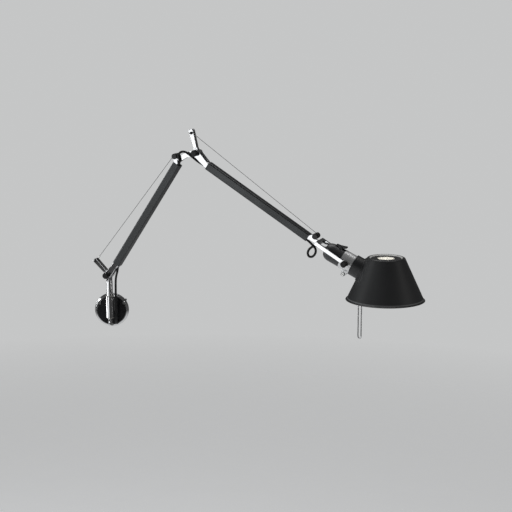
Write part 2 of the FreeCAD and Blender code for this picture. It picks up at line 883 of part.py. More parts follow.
def elbow_link():
    """Casting in the lower tube's top: pulley cheeks, and an arched bar to the elbow's tongue."""
    spot = pulley_at(lower_tube_end, lower_tube_drop)
    mid = -lower_tube_drop
    end_x = lower_tube_end + elbow_past_tube
    end_z = mid - elbow_below_tube
    way = [
        (lower_tube_end - plug_long + 3, mid, 1.0),
        (lower_tube_end + 2.0, mid + 0.9, 2.1),
        (lower_tube_end + 14.5, mid - 1.4, 4.0),
        (lower_tube_end + 25.0, mid - 6.5, 4.4),
        (end_x, end_z, hub_r - 0.5),
    ]
    halves = [stub_half, stub_half, cheek_out, cheek_out]
    bars = []
    for (ax, az, ar), (bx, bz, br), half in zip(way, way[1:], halves):
        bars.append(link((ax, az), ar, (bx, bz), br, -half, half))
    tie = mouth_tie(lower_tube_end, mid)
    solid = union(bars[0], *bars[1:], tie, *pulley_cheeks(lower_tube_end, lower_tube_drop, spot))
    swept = hub_r + 2.2
    flats = []
    for side in (-1, 1):
        flats.append(
            across(end_x, end_z, side * (tongue_half + slip), side * 20, swept)
        )
    cuts = flats + [across(end_x, end_z, -20, 20, pivot_bolt_r + slip)]
    keep("elbow_link", solid.cut(cuts), LOWER)


def head_fork():
    """Casting in the upper tube's end: pulley cheeks, a stub, and a fork for the lamp's head."""
    spot = pulley_at(upper_tube_end, upper_tube_drop)
    mid = -upper_tube_drop
    tilt_x = upper_tube_end + tilt_past_tube
    tilt_z = mid + tilt_above_tube
    bridge_x = tilt_x - fork_bridge_from_tilt
    bridge_z = tilt_z - 1.0
    leg_a = fork_gap / 2
    leg_b = leg_a + fork_leg_thick
    tie = mouth_tie(upper_tube_end, mid)
    stub = link(
        (upper_tube_end - plug_long + 3, mid), 1.0,
        (upper_tube_end + 4, mid + 0.6), 2.1, -stub_half, stub_half,
    )
    stub_out = link(
        (upper_tube_end + 4, mid + 0.6), 2.1,
        (bridge_x, bridge_z - 1.2), 3.4, -stub_half, stub_half,
    )
    bridge = block(
        bridge_x - fork_bridge_thick / 2,
        bridge_x + fork_bridge_thick / 2,
        -leg_b,
        leg_b,
        bridge_z - fork_leg_half,
        bridge_z + fork_leg_half,
    )
    ends = [e for e in bridge.Edges if e.BoundBox.ZLength > fork_leg_half]
    bridge = bridge.makeFillet(2.5, ends)
    leg = link((bridge_x, bridge_z), fork_leg_half, (tilt_x, tilt_z), fork_leg_half, leg_a, leg_b, 0.6)
    boss = across(tilt_x, tilt_z, leg_a, leg_b + fork_boss_out, fork_boss_r)
    leg = union(leg, boss)
    solid = union(stub, stub_out, tie, bridge, leg, mirrored_in_depth(leg))
    solid = union(solid, *pulley_cheeks(upper_tube_end, upper_tube_drop, spot))
    keep("head_fork", solid.cut(across(tilt_x, tilt_z, -40, 40, tilt_bolt_r + slip)), UPPER)


def arm(frame, start, long, drop, side, pin):
    """Tube, spring, wire and pulley of one arm. side is lower or upper."""
    arm_foot(start, drop, f"{side}_foot", frame)
    arm_tube(start, long, drop, f"{side}_tube", frame)
    spring_end = arm_spring(start, drop, f"{side}_spring", frame)
    spot = pulley_at(start + long, drop)
    pulley(spot, f"{side}_pulley", frame)
    pulley_axle(spot, f"{side}_axle", frame)
    keep(f"{side}_wire", wire_with_eye(pin, spot, spring_end, f"{side}_wire"), frame)


# ---------------------------------------------------------------- head
tilt_leg_out = fork_gap / 2 + fork_leg_thick + fork_boss_out


def head_collar():
    """Clamp ring on the tilt bolts, with a split lug below."""
    ring = sleeve(vec(-collar_half, 0, 0), vec(collar_half, 0, 0), collar_r, collar_bore)
    pad_face = fork_gap / 2 - washer_thick
    pads = [across(0, 0, side * (collar_r - 1.2), side * pad_face, tilt_pad_r) for side in (-1, 1)]
    lug = link(
        (lug_at, -collar_r + 3), lug_root_half,
        (lug_at, -lug_reach + lug_tip_half), lug_tip_half,
        -lug_gap / 2 - lug_ear, lug_gap / 2 + lug_ear, 0.6,
    )
    solid = union(ring, lug, *pads)
    cuts = [
        block(lug_at - 20, lug_at + 20, -lug_gap / 2, lug_gap / 2, -lug_reach - 5, -collar_r + 0.6),
        rod(vec(-30, 0, 0), vec(30, 0, 0), collar_bore),
        across(lug_at, -lug_reach + lug_tip_half, -20, 20, clamp_screw_r + slip),
        across(0, 0, -40, 40, tilt_bolt_r),
    ]
    solid = solid.cut(cuts)
    slit = block(-collar_half - 1, collar_half + 1, -0.5, 0.5, -collar_r - 2, 0)
    keep("head_collar", solid.cut(slit), HEAD)


def clamp_screw():
    z = -lug_reach + lug_tip_half
    outer = lug_gap / 2 + lug_ear
    head = slotted_head(vec(lug_at, -outer - touch, z), OUT, clamp_head_r, 2.4)
    shank = across(lug_at, z, -outer - touch, outer + 3, clamp_screw_r)
    nut = across(lug_at, z, outer + touch, outer + 2.6, clamp_head_r)
    keep("clamp_screw", union(head, shank, nut), HEAD)


def tilt_bolts():
    """Two studs screwed into the collar's sides. They carry the head in the fork."""
    studs = []
    for side in (-1, 1):
        end = tilt_leg_out + touch + (tilt_knob_long if side < 0 else nut_long) - 1.4
        studs.append(across(0, 0, side * (collar_bore + 0.3), side * end, tilt_bolt_r))
    keep("tilt_bolts", Part.makeCompound(studs), HEAD)


def tilt_washers():
    rings = []
    for side in (-1, 1):
        face = side * (fork_gap / 2 - washer_thick)
        rings.append(sleeve(vec(0, face, 0), vec(0, side * fork_gap / 2, 0), tilt_pad_r, tilt_bolt_r + slip))
    keep("tilt_washers", Part.makeCompound(rings), HEAD)


def tilt_nut():
    face = tilt_leg_out + touch
    nut = knurled(vec(0, face, 0), vec(0, 1, 0), nut_r, nut_long, 18, 0.35, 0.6)
    keep("tilt_nut", nut.cut(across(0, 0, face - 1, face + nut_long - 1.3, tilt_bolt_r)), HEAD)


def tilt_knob():
    face = -tilt_leg_out - touch
    knob = knurled(vec(0, face, 0), vec(0, -1, 0), knob_r, tilt_knob_long, 12, 0.5, 1.2)
    hole = across(0, 0, face + 1, face - tilt_knob_long + 1.3, tilt_bolt_r + slip)
    keep("tilt_knob", knob.cut(hole), HEAD)


paddle_hinge_x = -(paddle_rear + paddle_front) / 2
paddle_hinge_z = housing_r + 0.6
paddle_slot_half = paddle_wide / 2 + gap


def lamp_housing():
    """Switch housing behind the collar: a shell with a window for the rocker and two hinge ears."""
    shell = turned([
        (-housing_back, housing_r),
        (-collar_half - touch, housing_r),
        (-collar_half - touch, collar_bore - slip),
        (neck_sleeve_back - 2, collar_bore - slip),
        (neck_sleeve_back - 2, collar_bore - housing_wall),
        (-collar_half - 2, collar_bore - housing_wall),
        (-collar_half - 2, housing_r - housing_wall),
        (-housing_back, housing_r - housing_wall),
    ])
    ears = []
    for side in (-1, 1):
        inner = side * (paddle_slot_half)
        ear = link(
            (paddle_hinge_x, housing_r - 3.5), 4.2, (paddle_hinge_x, paddle_hinge_z), 2.6,
            min(inner, inner + side * 1.6), max(inner, inner + side * 1.6),
        )
        ears.append(ear.cut(rod(vec(-60, 0, 0), vec(60, 0, 0), housing_r - 1.0)))
    solid = union(shell, *ears)
    cuts = [
        block(
            -paddle_rear + 1.5,
            -paddle_front - 1.5,
            -paddle_slot_half,
            paddle_slot_half,
            housing_r - 6,
            housing_r + 20,
        ),
        across(paddle_hinge_x, paddle_hinge_z, -20, 20, 0.9 + slip),
    ]
    keep("lamp_housing", solid.cut(cuts), HEAD)


def switch_paddle():
    """Rocker with a hinge pin through it, raised at the front end."""
    low = housing_r - 1.0
    outline = [
        vec(-paddle_rear, 0, housing_r + 0.7),
        vec(-paddle_rear, 0, housing_r + 1.9),
        vec(paddle_hinge_x - 2, 0, housing_r + 2.9),
        vec(-paddle_front - 0.8, 0, housing_r + paddle_rise),
        vec(-paddle_front, 0, housing_r + paddle_rise - 0.9),
        vec(-paddle_front, 0, housing_r + paddle_rise - 2.6),
        vec(paddle_hinge_x + 4, 0, low + 1.6),
        vec(paddle_hinge_x + 2, 0, low),
        vec(paddle_hinge_x - 2, 0, low),
        vec(paddle_hinge_x - 4, 0, low + 1.2),
    ]
    body = Part.Face(Part.makePolygon(outline + outline[:1])).extrude(vec(0, paddle_wide, 0))
    body.translate(vec(0, -paddle_wide / 2, 0))
    pin = across(paddle_hinge_x, paddle_hinge_z, -paddle_slot_half - 1.4, paddle_slot_half + 1.4, 0.9)
    keep("switch_paddle", union(body, pin), HEAD)


def switch_block():
    """Snap switch inside the housing, under the rocker."""
    top = housing_r - 3.2
    low = top - 9
    half = 5.0
    body = block(paddle_hinge_x - 4.5, paddle_hinge_x + 7, -half, half, low, top)
    body = body.common(rod(vec(-60, 0, 0), vec(60, 0, 0), housing_r - housing_wall - touch))
    stem = rod(vec(paddle_hinge_x - 1, 0, top), vec(paddle_hinge_x - 1, 0, top + 1.6), 1.2)
    keep("switch_block", union(body, stem), HEAD)


def rear_cap():
    """Rounded cap that closes the housing, with the cable's entry in its end."""
    arc = []
    steps = 10
    span = cap_back - housing_back
    for i in range(steps + 1):
        t = math.radians(90 * i / steps)
        arc.append((-housing_back - span * math.sin(t), cap_tip_r + (housing_r - cap_tip_r) * math.cos(t)))
    inner = []
    for i in range(steps, -1, -1):
        t = math.radians(90 * i / steps)
        radius = cap_tip_r - 1.6 + (housing_r - cap_tip_r) * math.cos(t)
        inner.append((-housing_back - (span - housing_wall) * math.sin(t), radius))
    spigot = [
        (-housing_back, housing_r - housing_wall - 1.4),
        (-housing_back + 4, housing_r - housing_wall - 1.4),
        (-housing_back + 4, housing_r - housing_wall - slip),
        (-housing_back, housing_r - housing_wall - slip),
    ]
    end_hole = [(-cap_back, cable_r + 1.4), (-cap_back + housing_wall, cable_r + 1.4)]
    profile = arc + end_hole + inner[:-1] + spigot
    keep("rear_cap", turned(profile), HEAD)


def cord_grip():
    """Rubber grommet where the cable enters the cap."""
    x = -cap_back
    body = turned([
        (x - 4.5, cable_r + touch),
        (x - 4.5, cable_r + 0.8),
        (x - slip, cable_r + 2.6),
        (x - slip, cable_r + 1.3),
        (x + housing_wall + slip, cable_r + 1.3),
        (x + housing_wall + slip, cable_r + 2.2),
        (x + housing_wall + 1.4, cable_r + 2.2),
        (x + housing_wall + 1.4, cable_r + touch),
    ])
    keep("cord_grip", body, HEAD)


def lamp_holder():
    """Screw-in holder on the head's axis, open at the front for the bulb's cap."""
    wall = 2.0
    body = turned([
        (holder_back, 0),
        (holder_back, holder_r - 1.4),
        (collar_half + 2, holder_r - 1.4),
        (collar_half + 2, holder_r),
        (holder_front, holder_r),
        (holder_front, holder_bore + slip),
        (holder_back + wall + 3, holder_bore + slip),
        (holder_back + wall + 3, 0),
    ])
    flange = turned([
        (holder_back - 1.6, 0),
        (holder_back - 1.6, collar_bore - housing_wall - slip),
        (holder_back, collar_bore - housing_wall - slip),
        (holder_back, 0),
    ])
    keep("lamp_holder", union(body, flange), HEAD)


def bulb():
    """Ball bulb with a small screw cap."""
    cap_from = holder_back + 6
    cap_to = holder_front + 1.0
    ball = Part.makeSphere(bulb_ball_r, vec(bulb_ball_at, 0, 0))
    neck = turned([
        (cap_to - 1, 0),
        (cap_to - 1, bulb_cap_r + 1.0),
        (cap_to + 6, bulb_cap_r + 2.4),
        (bulb_ball_at - bulb_ball_r + 9, bulb_ball_r * 0.72),
        (bulb_ball_at, bulb_ball_r * 0.72),
        (bulb_ball_at, 0),
    ])
    cap = turned([
        (cap_from, 0),
        (cap_from, 2.2),
        (cap_from + 1.5, 2.2),
        (cap_from + 4, bulb_cap_r),
        (cap_to, bulb_cap_r),
        (cap_to, 0),
    ])
    keep("bulb", union(ball, neck, cap), HEAD)


# ---------------------------------------------------------------- shade
def shade_skin(grow):
    """Solid inside of the shade's outline, drawn in the plane frame and grown by a thickness."""
    slope = math.atan2(shade_rim_r - shade_top_r, shade_top_z - shade_rim_z)
    across_grow = grow / math.cos(slope)
    drop = shade_edge
    top_out = shade_top_r + across_grow
    rim_out = shade_rim_r + across_grow
    step = (shade_rim_r - shade_top_r) / (shade_top_z - shade_rim_z)
    return [
        (shade_top_z + grow, 0),
        (shade_top_z + grow, top_out - drop * 0.7),
        (shade_top_z + grow - drop * 0.3, top_out - drop * 0.2),
        (shade_top_z + grow - drop, top_out + drop * step),
        (shade_rim_z + shade_lip, rim_out - shade_lip * step),
        (shade_rim_z + shade_lip * 0.5, rim_out + shade_lip * 0.5),
        (shade_rim_z, rim_out + shade_lip),
        (shade_rim_z, 0),
    ]


def shade_solid(grow, low=0.0):
    profile = shade_skin(grow)
    profile[-1] = (shade_rim_z - low, 0)
    profile[-2] = (shade_rim_z - low, profile[-2][1])
    return turned(profile, vec(shade_mid, 0, 0), vec(0, 0, 1), vec(1, 0, 0))


def head_axis_rod(x0, x1, radius):
    """Round bar along the head's axis, drawn in the plane frame."""
    bar = rod(vec(x0, 0, 0), vec(x1, 0, 0), radius)
    place = FreeCAD.Placement(vec(tilt[0], 0, tilt[1]), turn_about(vec(0, -1, 0), -head_fall))
    bar.Placement = place
    return bar


def shade():
    outside = shade_solid(0)
    inside = shade_solid(-shade_wall, 1.0)
    shell = outside.cut(inside)
    hole = rod(vec(shade_mid, 0, shade_top_z - 20), vec(shade_mid, 0, shade_top_z + 20), shade_hole_r)
    top = shade_top_z
    dish = turned(
        [
            (top - shade_dish, 0),
            (top - shade_dish, shade_top_r - 6.5),
            (top, shade_top_r - 4.0),
            (top + 5, shade_top_r - 4.0),
            (top + 5, 0),
        ],
        vec(shade_mid, 0, 0),
        vec(0, 0, 1),
        vec(1, 0, 0),
    )
    floor = turned(
        [
            (top - shade_dish - shade_wall, 0),
            (top - shade_dish - shade_wall, shade_top_r - 5.0),
            (top - shade_wall + 0.1, shade_top_r - 2.6),
            (top - shade_wall + 0.1, 0),
        ],
        vec(shade_mid, 0, 0),
        vec(0, 0, 1),
        vec(1, 0, 0),
    )
    body = union(shell, floor).cut(dish)
    keep("shade", body.cut([hole, head_axis_rod(0, 60, neck_r)]), PLANE)


def shade_neck():
    """Neck between collar and shade: a tube with a saddle on the cone, turning in the collar."""
    outer = head_axis_rod(collar_half + gap, neck_front, neck_r)
    bore = head_axis_rod(-60, 80, neck_r - neck_wall)
    tube = outer.cut(bore)
    saddle = shade_solid(1.2).common(head_axis_rod(0, 60, saddle_r)).cut(shade_solid(0.02))
    saddle = saddle.cut(head_axis_rod(0, 80, neck_r - 0.2))
    ledge = head_axis_rod(collar_half + gap, collar_half + gap + 1.8, neck_r - 0.5)
    sleeve_tube = head_axis_rod(neck_sleeve_back, collar_half + gap + 1.8, neck_sleeve_r)
    core = head_axis_rod(-60, 80, neck_sleeve_r - neck_sleeve_wall)
    body = union(tube, saddle, ledge, sleeve_tube).cut([core, *handle_legs(handle_r + slip)])
    keep("shade_neck", body, PLANE)


handle_left = handle_u - handle_half
handle_right = handle_u + handle_half
handle_bend_z = handle_low_z + handle_half


def handle_top(u):
    """Height at which a leg of the handle ends, just inside the neck's lower wall."""
    tilt_down = math.radians(head_fall)
    axis_z = tilt[1] - (u - tilt[0]) * math.tan(tilt_down)
    return axis_z - (neck_r - neck_wall) / math.cos(tilt_down) + 1.0


def handle_legs(radius):
    return [
        rod(vec(u, 0, handle_bend_z), vec(u, 0, handle_top(u)), radius)
        for u in (handle_left, handle_right)
    ]


def wire_handle():
    """Hairpin of thin wire that hangs through the shade's mouth from two holes in the neck."""
    bend = Part.makeTorus(
        handle_half, handle_r, vec(handle_u, 0, handle_bend_z), vec(0, 1, 0)
    )
    below = block(handle_left - 5, handle_right + 5, -5, 5, handle_low_z - 5, handle_bend_z)
    keep("wire_handle", union(bend.common(below), *handle_legs(handle_r)), PLANE)


# ---------------------------------------------------------------- supply cable
def lower_spot(x, y, z):
    return LOWER.multVec(vec(x, y, z))


def upper_spot(x, y, z):
    return UPPER.multVec(vec(x, y, z))


def head_spot(x, y, z):
    return HEAD.multVec(vec(x, y, z))


def stem_spot(x, y, z):
    """A point beside the stem, its height given from the shoulder pivot."""
    return PLANE.multVec(vec(x, y, shoulder_z + z))


def loop_spot(x, y, z):
    """A point of the cable's loop behind the head, given from the tilt pivot."""
    return PLANE.multVec(vec(tilt[0] + x, y, tilt[1] + z))


cable_floor_lower = -lower_tube_drop - tube_high / 2 + tube_wall + cable_r + 0.15
cable_floor_upper = -upper_tube_drop - tube_high / 2 + tube_wall + cable_r + 0.15
cable_side = -4.6


def cable_base():
    """From the gland up beside the socket and the stem."""
    out = cover_front + gland_long
    points = [
        vec(gland_x, -cover_back + 1.0, gland_z),
        vec(gland_x, -out - 9.0, gland_z),
        vec(gland_x + 0.3, -out - 16.5, gland_z + 5.5),
        vec(gland_x + 0.7, -out - 18.4, gland_z + 16.0),
        stem_spot(11.8, 2.2, -61.8),
        stem_spot(12.0, 2.0, -37.8),
        stem_spot(12.4, 1.8, -19.8),
    ]
    keep("cable_base", bent_tube(points, cable_r, "cable_base"))


def cable_lower():
    """From the stem's side past the shoulder and up inside the lower tube."""
    x = lower_tube_start
    z = cable_floor_lower
    points = [
        stem_spot(12.4, 1.8, -19.8),
        stem_spot(12.6, 1.7, -10.8),
        stem_spot(14.4, 1.2, -1.8),
        stem_spot(17.6, 0.5, 7.2),
        lower_spot(x - 3.0, 0, z + 0.3),
        lower_spot(x + 6, 0, z + 0.1),
        lower_spot(x + 17, 0, z),
        lower_spot(x + 34, cable_side, z),
        lower_spot(x + 0.32 * lower_tube_long, cable_side, z + 0.1),
        lower_spot(x + 0.53 * lower_tube_long, cable_side, z - 0.1),
        lower_spot(x + 0.73 * lower_tube_long, cable_side, z),
        lower_spot(lower_tube_end - 26, cable_side, z),
    ]
    keep("cable_lower", bent_tube(points, cable_r, "cable_lower"))


def cable_upper():
    """Out of the lower tube, over the front of the elbow and down inside the upper tube."""
    x = lower_tube_end
    z = cable_floor_lower
    s = upper_tube_start
    w = cable_floor_upper
    points = [
        lower_spot(x - 26, cable_side, z),
        lower_spot(x - 12, cable_side, z),
        lower_spot(x + 3.2, cable_side - 0.1, z - 0.1),
        lower_spot(x + 9.4, -7.2, z + 1.6),
        lower_spot(x + 14.0, -7.7, z + 7.2),
        lower_spot(x + 20.0, -7.7, z + 10.0),
        lower_spot(x + 26.4, -7.6, z + 6.8),
        lower_spot(x + 29.8, -7.5, z + 0.6),
        upper_spot(-11.0, -7.4, -9.2),
        upper_spot(-0.5, -7.2, -9.5),
        upper_spot(9.0, -5.4, -11.0),
        upper_spot(17.5, -1.4, -12.0),
        upper_spot(s - 3, 0, w + 0.1),
        upper_spot(s + 17, 0, w),
        upper_spot(s + 34, cable_side, w),
        upper_spot(s + 0.33 * upper_tube_long, cable_side, w + 0.1),
        upper_spot(s + 0.55 * upper_tube_long, cable_side, w - 0.1),
        upper_spot(s + 0.74 * upper_tube_long, cable_side, w),
        upper_spot(upper_tube_end - 26, cable_side, w),
    ]
    keep("cable_upper", bent_tube(points, cable_r, "cable_upper"))


def cable_head():
    """Out of the upper tube, once round in a small loop and into the cap."""
    x = upper_tube_end
    w = cable_floor_upper
    points = [
        upper_spot(x - 26, cable_side, w),
        upper_spot(x - 12, cable_side, w),
        upper_spot(x + 3.0, cable_side, w - 0.05),
        loop_spot(-62.6, -3.8, 24.9),
        loop_spot(-58.0, -3.0, 18.7),
        loop_spot(-59.2, -2.6, 10.5),
        loop_spot(-65.0, -2.0, 4.3),
        loop_spot(-72.2, -0.6, 4.3),
        loop_spot(-75.2, 1.0, 10.9),
        loop_spot(-72.2, 2.2, 18.1),
        loop_spot(-65.0, 2.4, 23.3),
        loop_spot(-56.6, 1.2, 24.5),
        head_spot(-cap_back - 11.0, 0, -0.9),
        head_spot(-cap_back - 6.5, 0, 0),
        head_spot(-cap_back + 3.0, 0, 0),
    ]
    keep("cable_head", bent_tube(points, cable_r, "cable_head"))


# ---------------------------------------------------------------- the lamp
def build():
    wall_plate()
    plate_cover()
    plate_screws()
    socket_bracket()
    bracket_screws()
    socket_bushes()
    cable_gland()
    terminal_block()
    stem()
    keeper_screw()
    shoulder_frame = in_plane(0, shoulder_z, 0)
    elbow_frame = in_plane(elbow[0], elbow[1], 0)
    for frame, name in ((shoulder_frame, "shoulder"), (elbow_frame, "elbow")):
        pivot_bolt(frame, f"{name}_bolt")
        pivot_washers(frame, f"{name}_washers")
        pivot_nut(frame, f"{name}_nut")
        pivot_knob(frame, f"{name}_knob")
    lower_names = ("lower_lever", "lower_lever_pin", "lower_bobbin")
    lever_set(shoulder_frame, lower_lever_angle, lower_lever_long, 0, lower_names, 0.8)
    upper_names = ("upper_lever", "upper_lever_pin", "upper_bobbin")
    lever_set(elbow_frame, upper_lever_angle, upper_lever_long, upper_lever_overhang, upper_names, 1.4)
    lower_pin = along(0, 0, lower_lever_angle - lower_rise, lower_lever_long, 0)
    upper_pin = along(0, 0, upper_lever_angle + upper_fall, upper_lever_long, 0)
    arm(LOWER, lower_tube_start, lower_tube_long, lower_tube_drop, "lower", lower_pin)
    arm(UPPER, upper_tube_start, upper_tube_long, upper_tube_drop, "upper", upper_pin)
    elbow_link()
    head_fork()
    head_collar()
    clamp_screw()
    tilt_bolts()
    tilt_washers()
    tilt_nut()
    tilt_knob()
    lamp_housing()
    switch_paddle()
    switch_block()
    rear_cap()
    cord_grip()
    lamp_holder()
    bulb()
    shade()
    shade_neck()
    wire_handle()
    cable_base()
    cable_lower()
    cable_upper()
    cable_head()


build()
os.makedirs("parts", exist_ok=True)
for name, shape in NODES.items():
    shape.exportStep(f"parts/{name}.step")
    print(f"{name}: {len(shape.Solids)} solid, {shape.Volume:.1f} mm3, valid {shape.isValid()}")
print(f"{len(NODES)} nodes, elbow {elbow}, tilt {tilt}")
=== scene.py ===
"""Articulating wall lamp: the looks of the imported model, piece by piece, in metres."""
import math

import bmesh
import bpy
from mathutils import Matrix, Vector


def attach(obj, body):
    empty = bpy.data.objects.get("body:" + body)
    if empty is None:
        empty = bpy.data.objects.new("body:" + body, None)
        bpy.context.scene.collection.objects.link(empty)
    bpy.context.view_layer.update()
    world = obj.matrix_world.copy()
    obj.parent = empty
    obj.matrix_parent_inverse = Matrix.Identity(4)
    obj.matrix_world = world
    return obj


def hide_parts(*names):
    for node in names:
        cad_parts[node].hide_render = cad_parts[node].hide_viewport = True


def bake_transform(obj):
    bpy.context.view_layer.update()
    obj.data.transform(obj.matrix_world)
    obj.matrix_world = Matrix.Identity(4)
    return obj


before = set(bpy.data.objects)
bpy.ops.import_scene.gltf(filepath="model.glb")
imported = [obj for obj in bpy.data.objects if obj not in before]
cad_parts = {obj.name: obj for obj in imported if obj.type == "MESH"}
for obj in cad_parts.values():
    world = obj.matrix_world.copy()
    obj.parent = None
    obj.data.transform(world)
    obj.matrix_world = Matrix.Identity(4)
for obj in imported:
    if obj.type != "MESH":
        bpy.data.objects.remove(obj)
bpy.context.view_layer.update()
scene = bpy.context.scene


# ---------------------------------------------------------------- camera
# A long lens a little above the lamp, tipped 10.6 degrees down, which is how the photograph was taken.
lens = bpy.data.cameras.new("camera")
lens.lens = 78.75
lens.clip_end = 50
camera = bpy.data.objects.new("camera", lens)
camera.location = (0.28176, -2.13634, 0.50585)
camera.rotation_euler = (math.radians(79.4), 0, 0)
scene.collection.objects.link(camera)
scene.camera = camera
# Straight colours, because the photograph has clean whites beside near blacks.
scene.view_settings.view_transform = "Standard"


# ---------------------------------------------------------------- drawing frames
# The arms stand in one upright plane, turned 20 degrees from the wall. Each arm and the head has a
# frame in that plane: x along the piece, y towards the wall, z towards its tension wire. Sizes in mm.
def at(x, y, z):
    return Vector((x, y, z)) * 0.001


def tilted(x, z, degrees):
    lift = Matrix.Rotation(math.radians(degrees), 4, Vector((0, -1, 0)))
    return arm_plane @ Matrix.Translation(at(x, 0, z)) @ lift


arm_plane = Matrix.Translation(at(0, -30, 0)) @ Matrix.Rotation(math.radians(-20), 4, "Z")
lower_frame = tilted(0, 75.8, 56.66)
upper_frame = tilted(185.475, 315.154, -32.3)
head_frame = tilted(472.570, 131.885, -26)
lower_end = 262.6
upper_end = 258.1


# ---------------------------------------------------------------- finishes
# A finish is one material. Signal wraps a socket so that plain arithmetic adds the Math nodes.
class Signal:
    """The value of one socket. Arithmetic on it adds Math nodes to its finish."""

    def __init__(self, finish, socket):
        self.finish = finish
        self.socket = socket

    def math(self, operation, first, second):
        return self.finish.add("ShaderNodeMath", {"operation": operation}, [first, second])

    def __add__(self, other):
        return self.math("ADD", self, other)

    def __radd__(self, other):
        return self.math("ADD", other, self)

    def __mul__(self, other):
        return self.math("MULTIPLY", self, other)

    def __rmul__(self, other):
        return self.math("MULTIPLY", other, self)


class Finish:
    """A material on a principled shader. add() puts in one node and gives back one of its outputs."""

    def __init__(self, name, **fixed):
        self.material = bpy.data.materials.new(name)
        self.material.use_nodes = True
        self.tree = self.material.node_tree
        self.shader = self.tree.nodes["Principled BSDF"]
        self.place = self.add("ShaderNodeTexCoord", {}, {}, "Object")
        for socket, value in fixed.items():
            self.feed(**{socket: value})

    def add(self, kind, settings, sockets, output=0):
        node = self.tree.nodes.new(kind)
        for name, value in settings.items():
            setattr(node, name, value)
        pairs = sockets.items() if isinstance(sockets, dict) else enumerate(sockets)
        known = {socket.identifier: socket for socket in node.inputs}
        for name, value in pairs:
            self.join(known.get(name) or node.inputs[name], value)
        return Signal(self, node.outputs[output])

    def join(self, socket, value):
        if isinstance(value, Signal):
            self.tree.links.new(value.socket, socket)
        else:
            socket.default_value = value

    def feed(self, **sockets):
        for name, value in sockets.items():
            self.join(self.shader.inputs[name.replace("_", " ")], value)

    def noise(self, scale, detail=2.0, roughness=0.5, place=None):
        sockets = {"Vector": place or self.place, "Scale": scale, "Detail": detail, "Roughness": roughness}
        return self.add("ShaderNodeTexNoise", {}, sockets)

    def turned(self, matrix, stretch=(1, 1, 1)):
        """The place on the piece in another frame, stretched along that frame's axes."""
        back = matrix.inverted()
        sockets = {"Vector": self.place, "Location": back.translation, "Rotation": back.to_euler()}
        there = self.add("ShaderNodeMapping", {}, sockets)
        return self.add("ShaderNodeMapping", {}, {"Vector": there, "Scale": stretch})

    def spread(self, value, low, high, first=0.0, last=1.0):
        """Maps first..last of a signal to low..high and holds it there."""
        sockets = {"Value": value, "From Min": first, "From Max": last, "To Min": low, "To Max": high}
        return self.add("ShaderNodeMapRange", {}, sockets)

    def mixed(self, mask, first, second):
        """One colour where the mask is 0, the other where it is 1."""
        first, second = (tint if isinstance(tint, Signal) else (*tint, 1) for tint in (first, second))
        sockets = {"Factor_Float": mask, "A_Color": first, "B_Color": second}
        return self.add("ShaderNodeMix", {"data_type": "RGBA"}, sockets, 2)

    def relief(self, height, deep, edge=0.0):
        """Bump from a height of 0 to 1 times deep, in metres, on edges eased by a small radius."""
        sockets = {"Height": height, "Strength": 1.0, "Distance": deep}
        if edge:
            sockets["Normal"] = self.add("ShaderNodeBevel", {"samples": 6}, {"Radius": edge})
        self.feed(Normal=self.add("ShaderNodeBump", {}, sockets))


# ---------------------------------------------------------------- studio
# A pale floor well below the lamp that fades out, two tall soft boxes on its left, a narrow one on its
# right and a wide one above. Polished pieces mirror these in a dark room.
floor_z = -0.9
fade_from = 1.4
fade_to = 3.4
backdrop_grey = 0.56
room_grey = 0.06


def soft_box(name, place, aim, wide, high, power, warmth):
    light = bpy.data.lights.new(name, "AREA")
    light.shape = "RECTANGLE"
    light.size = wide
    light.size_y = high
    light.energy = power
    light.color = warmth
    box = bpy.data.objects.new(name, light)
    box.location = place
    box.rotation_euler = (Vector(aim) - Vector(place)).to_track_quat("-Z", "Y").to_euler()
    scene.collection.objects.link(box)


middle = (0.25, -0.1, 0.15)
soft_box("left_box", (-0.93, -1.6, 0.15), middle, 0.7, 1.5, 5.5, (0.97, 0.99, 1.0))
soft_box("side_box", (-1.7, -0.15, 0.25), middle, 0.4, 1.4, 14, (0.97, 0.99, 1.0))
soft_box("right_box", (1.9, -0.8, 0.25), middle, 0.25, 1.3, 4, (1.0, 0.99, 0.97))
soft_box("top_box", (0.3, 0.5, 1.9), middle, 1.6, 1.0, 16, (1.0, 1.0, 1.0))

# The camera sees a pale backdrop behind the lamp. All other rays meet the dark room.
world = bpy.data.worlds.new("studio")
world.use_nodes = True
scene.world = world
sky = world.node_tree.nodes["Background"]
seen = world.node_tree.nodes.new("ShaderNodeBackground")
seen.inputs["Color"].default_value = (backdrop_grey, backdrop_grey * 1.01, backdrop_grey * 1.012, 1)
sky.inputs["Color"].default_value = (room_grey, room_grey, room_grey, 1)
rays = world.node_tree.nodes.new("ShaderNodeLightPath")
either = world.node_tree.nodes.new("ShaderNodeMixShader")
world.node_tree.links.new(rays.outputs["Is Camera Ray"], either.inputs["Fac"])
world.node_tree.links.new(sky.outputs["Background"], either.inputs[1])
world.node_tree.links.new(seen.outputs["Background"], either.inputs[2])
world.node_tree.links.new(either.outputs["Shader"], world.node_tree.nodes["World Output"].inputs["Surface"])


def piece(name, bm, *finishes, crease=40):
    """An object of the lamp from a finished bmesh: smooth, with its creases kept sharp."""
    mesh = bpy.data.meshes.new(name)
    bm.to_mesh(mesh)
    bm.free()
    mesh.shade_smooth()
    mesh.set_sharp_from_angle(angle=math.radians(crease))
    for finish in finishes:
        mesh.materials.append(finish.material)
    obj = bpy.data.objects.new(name, mesh)
    scene.collection.objects.link(obj)
    return obj


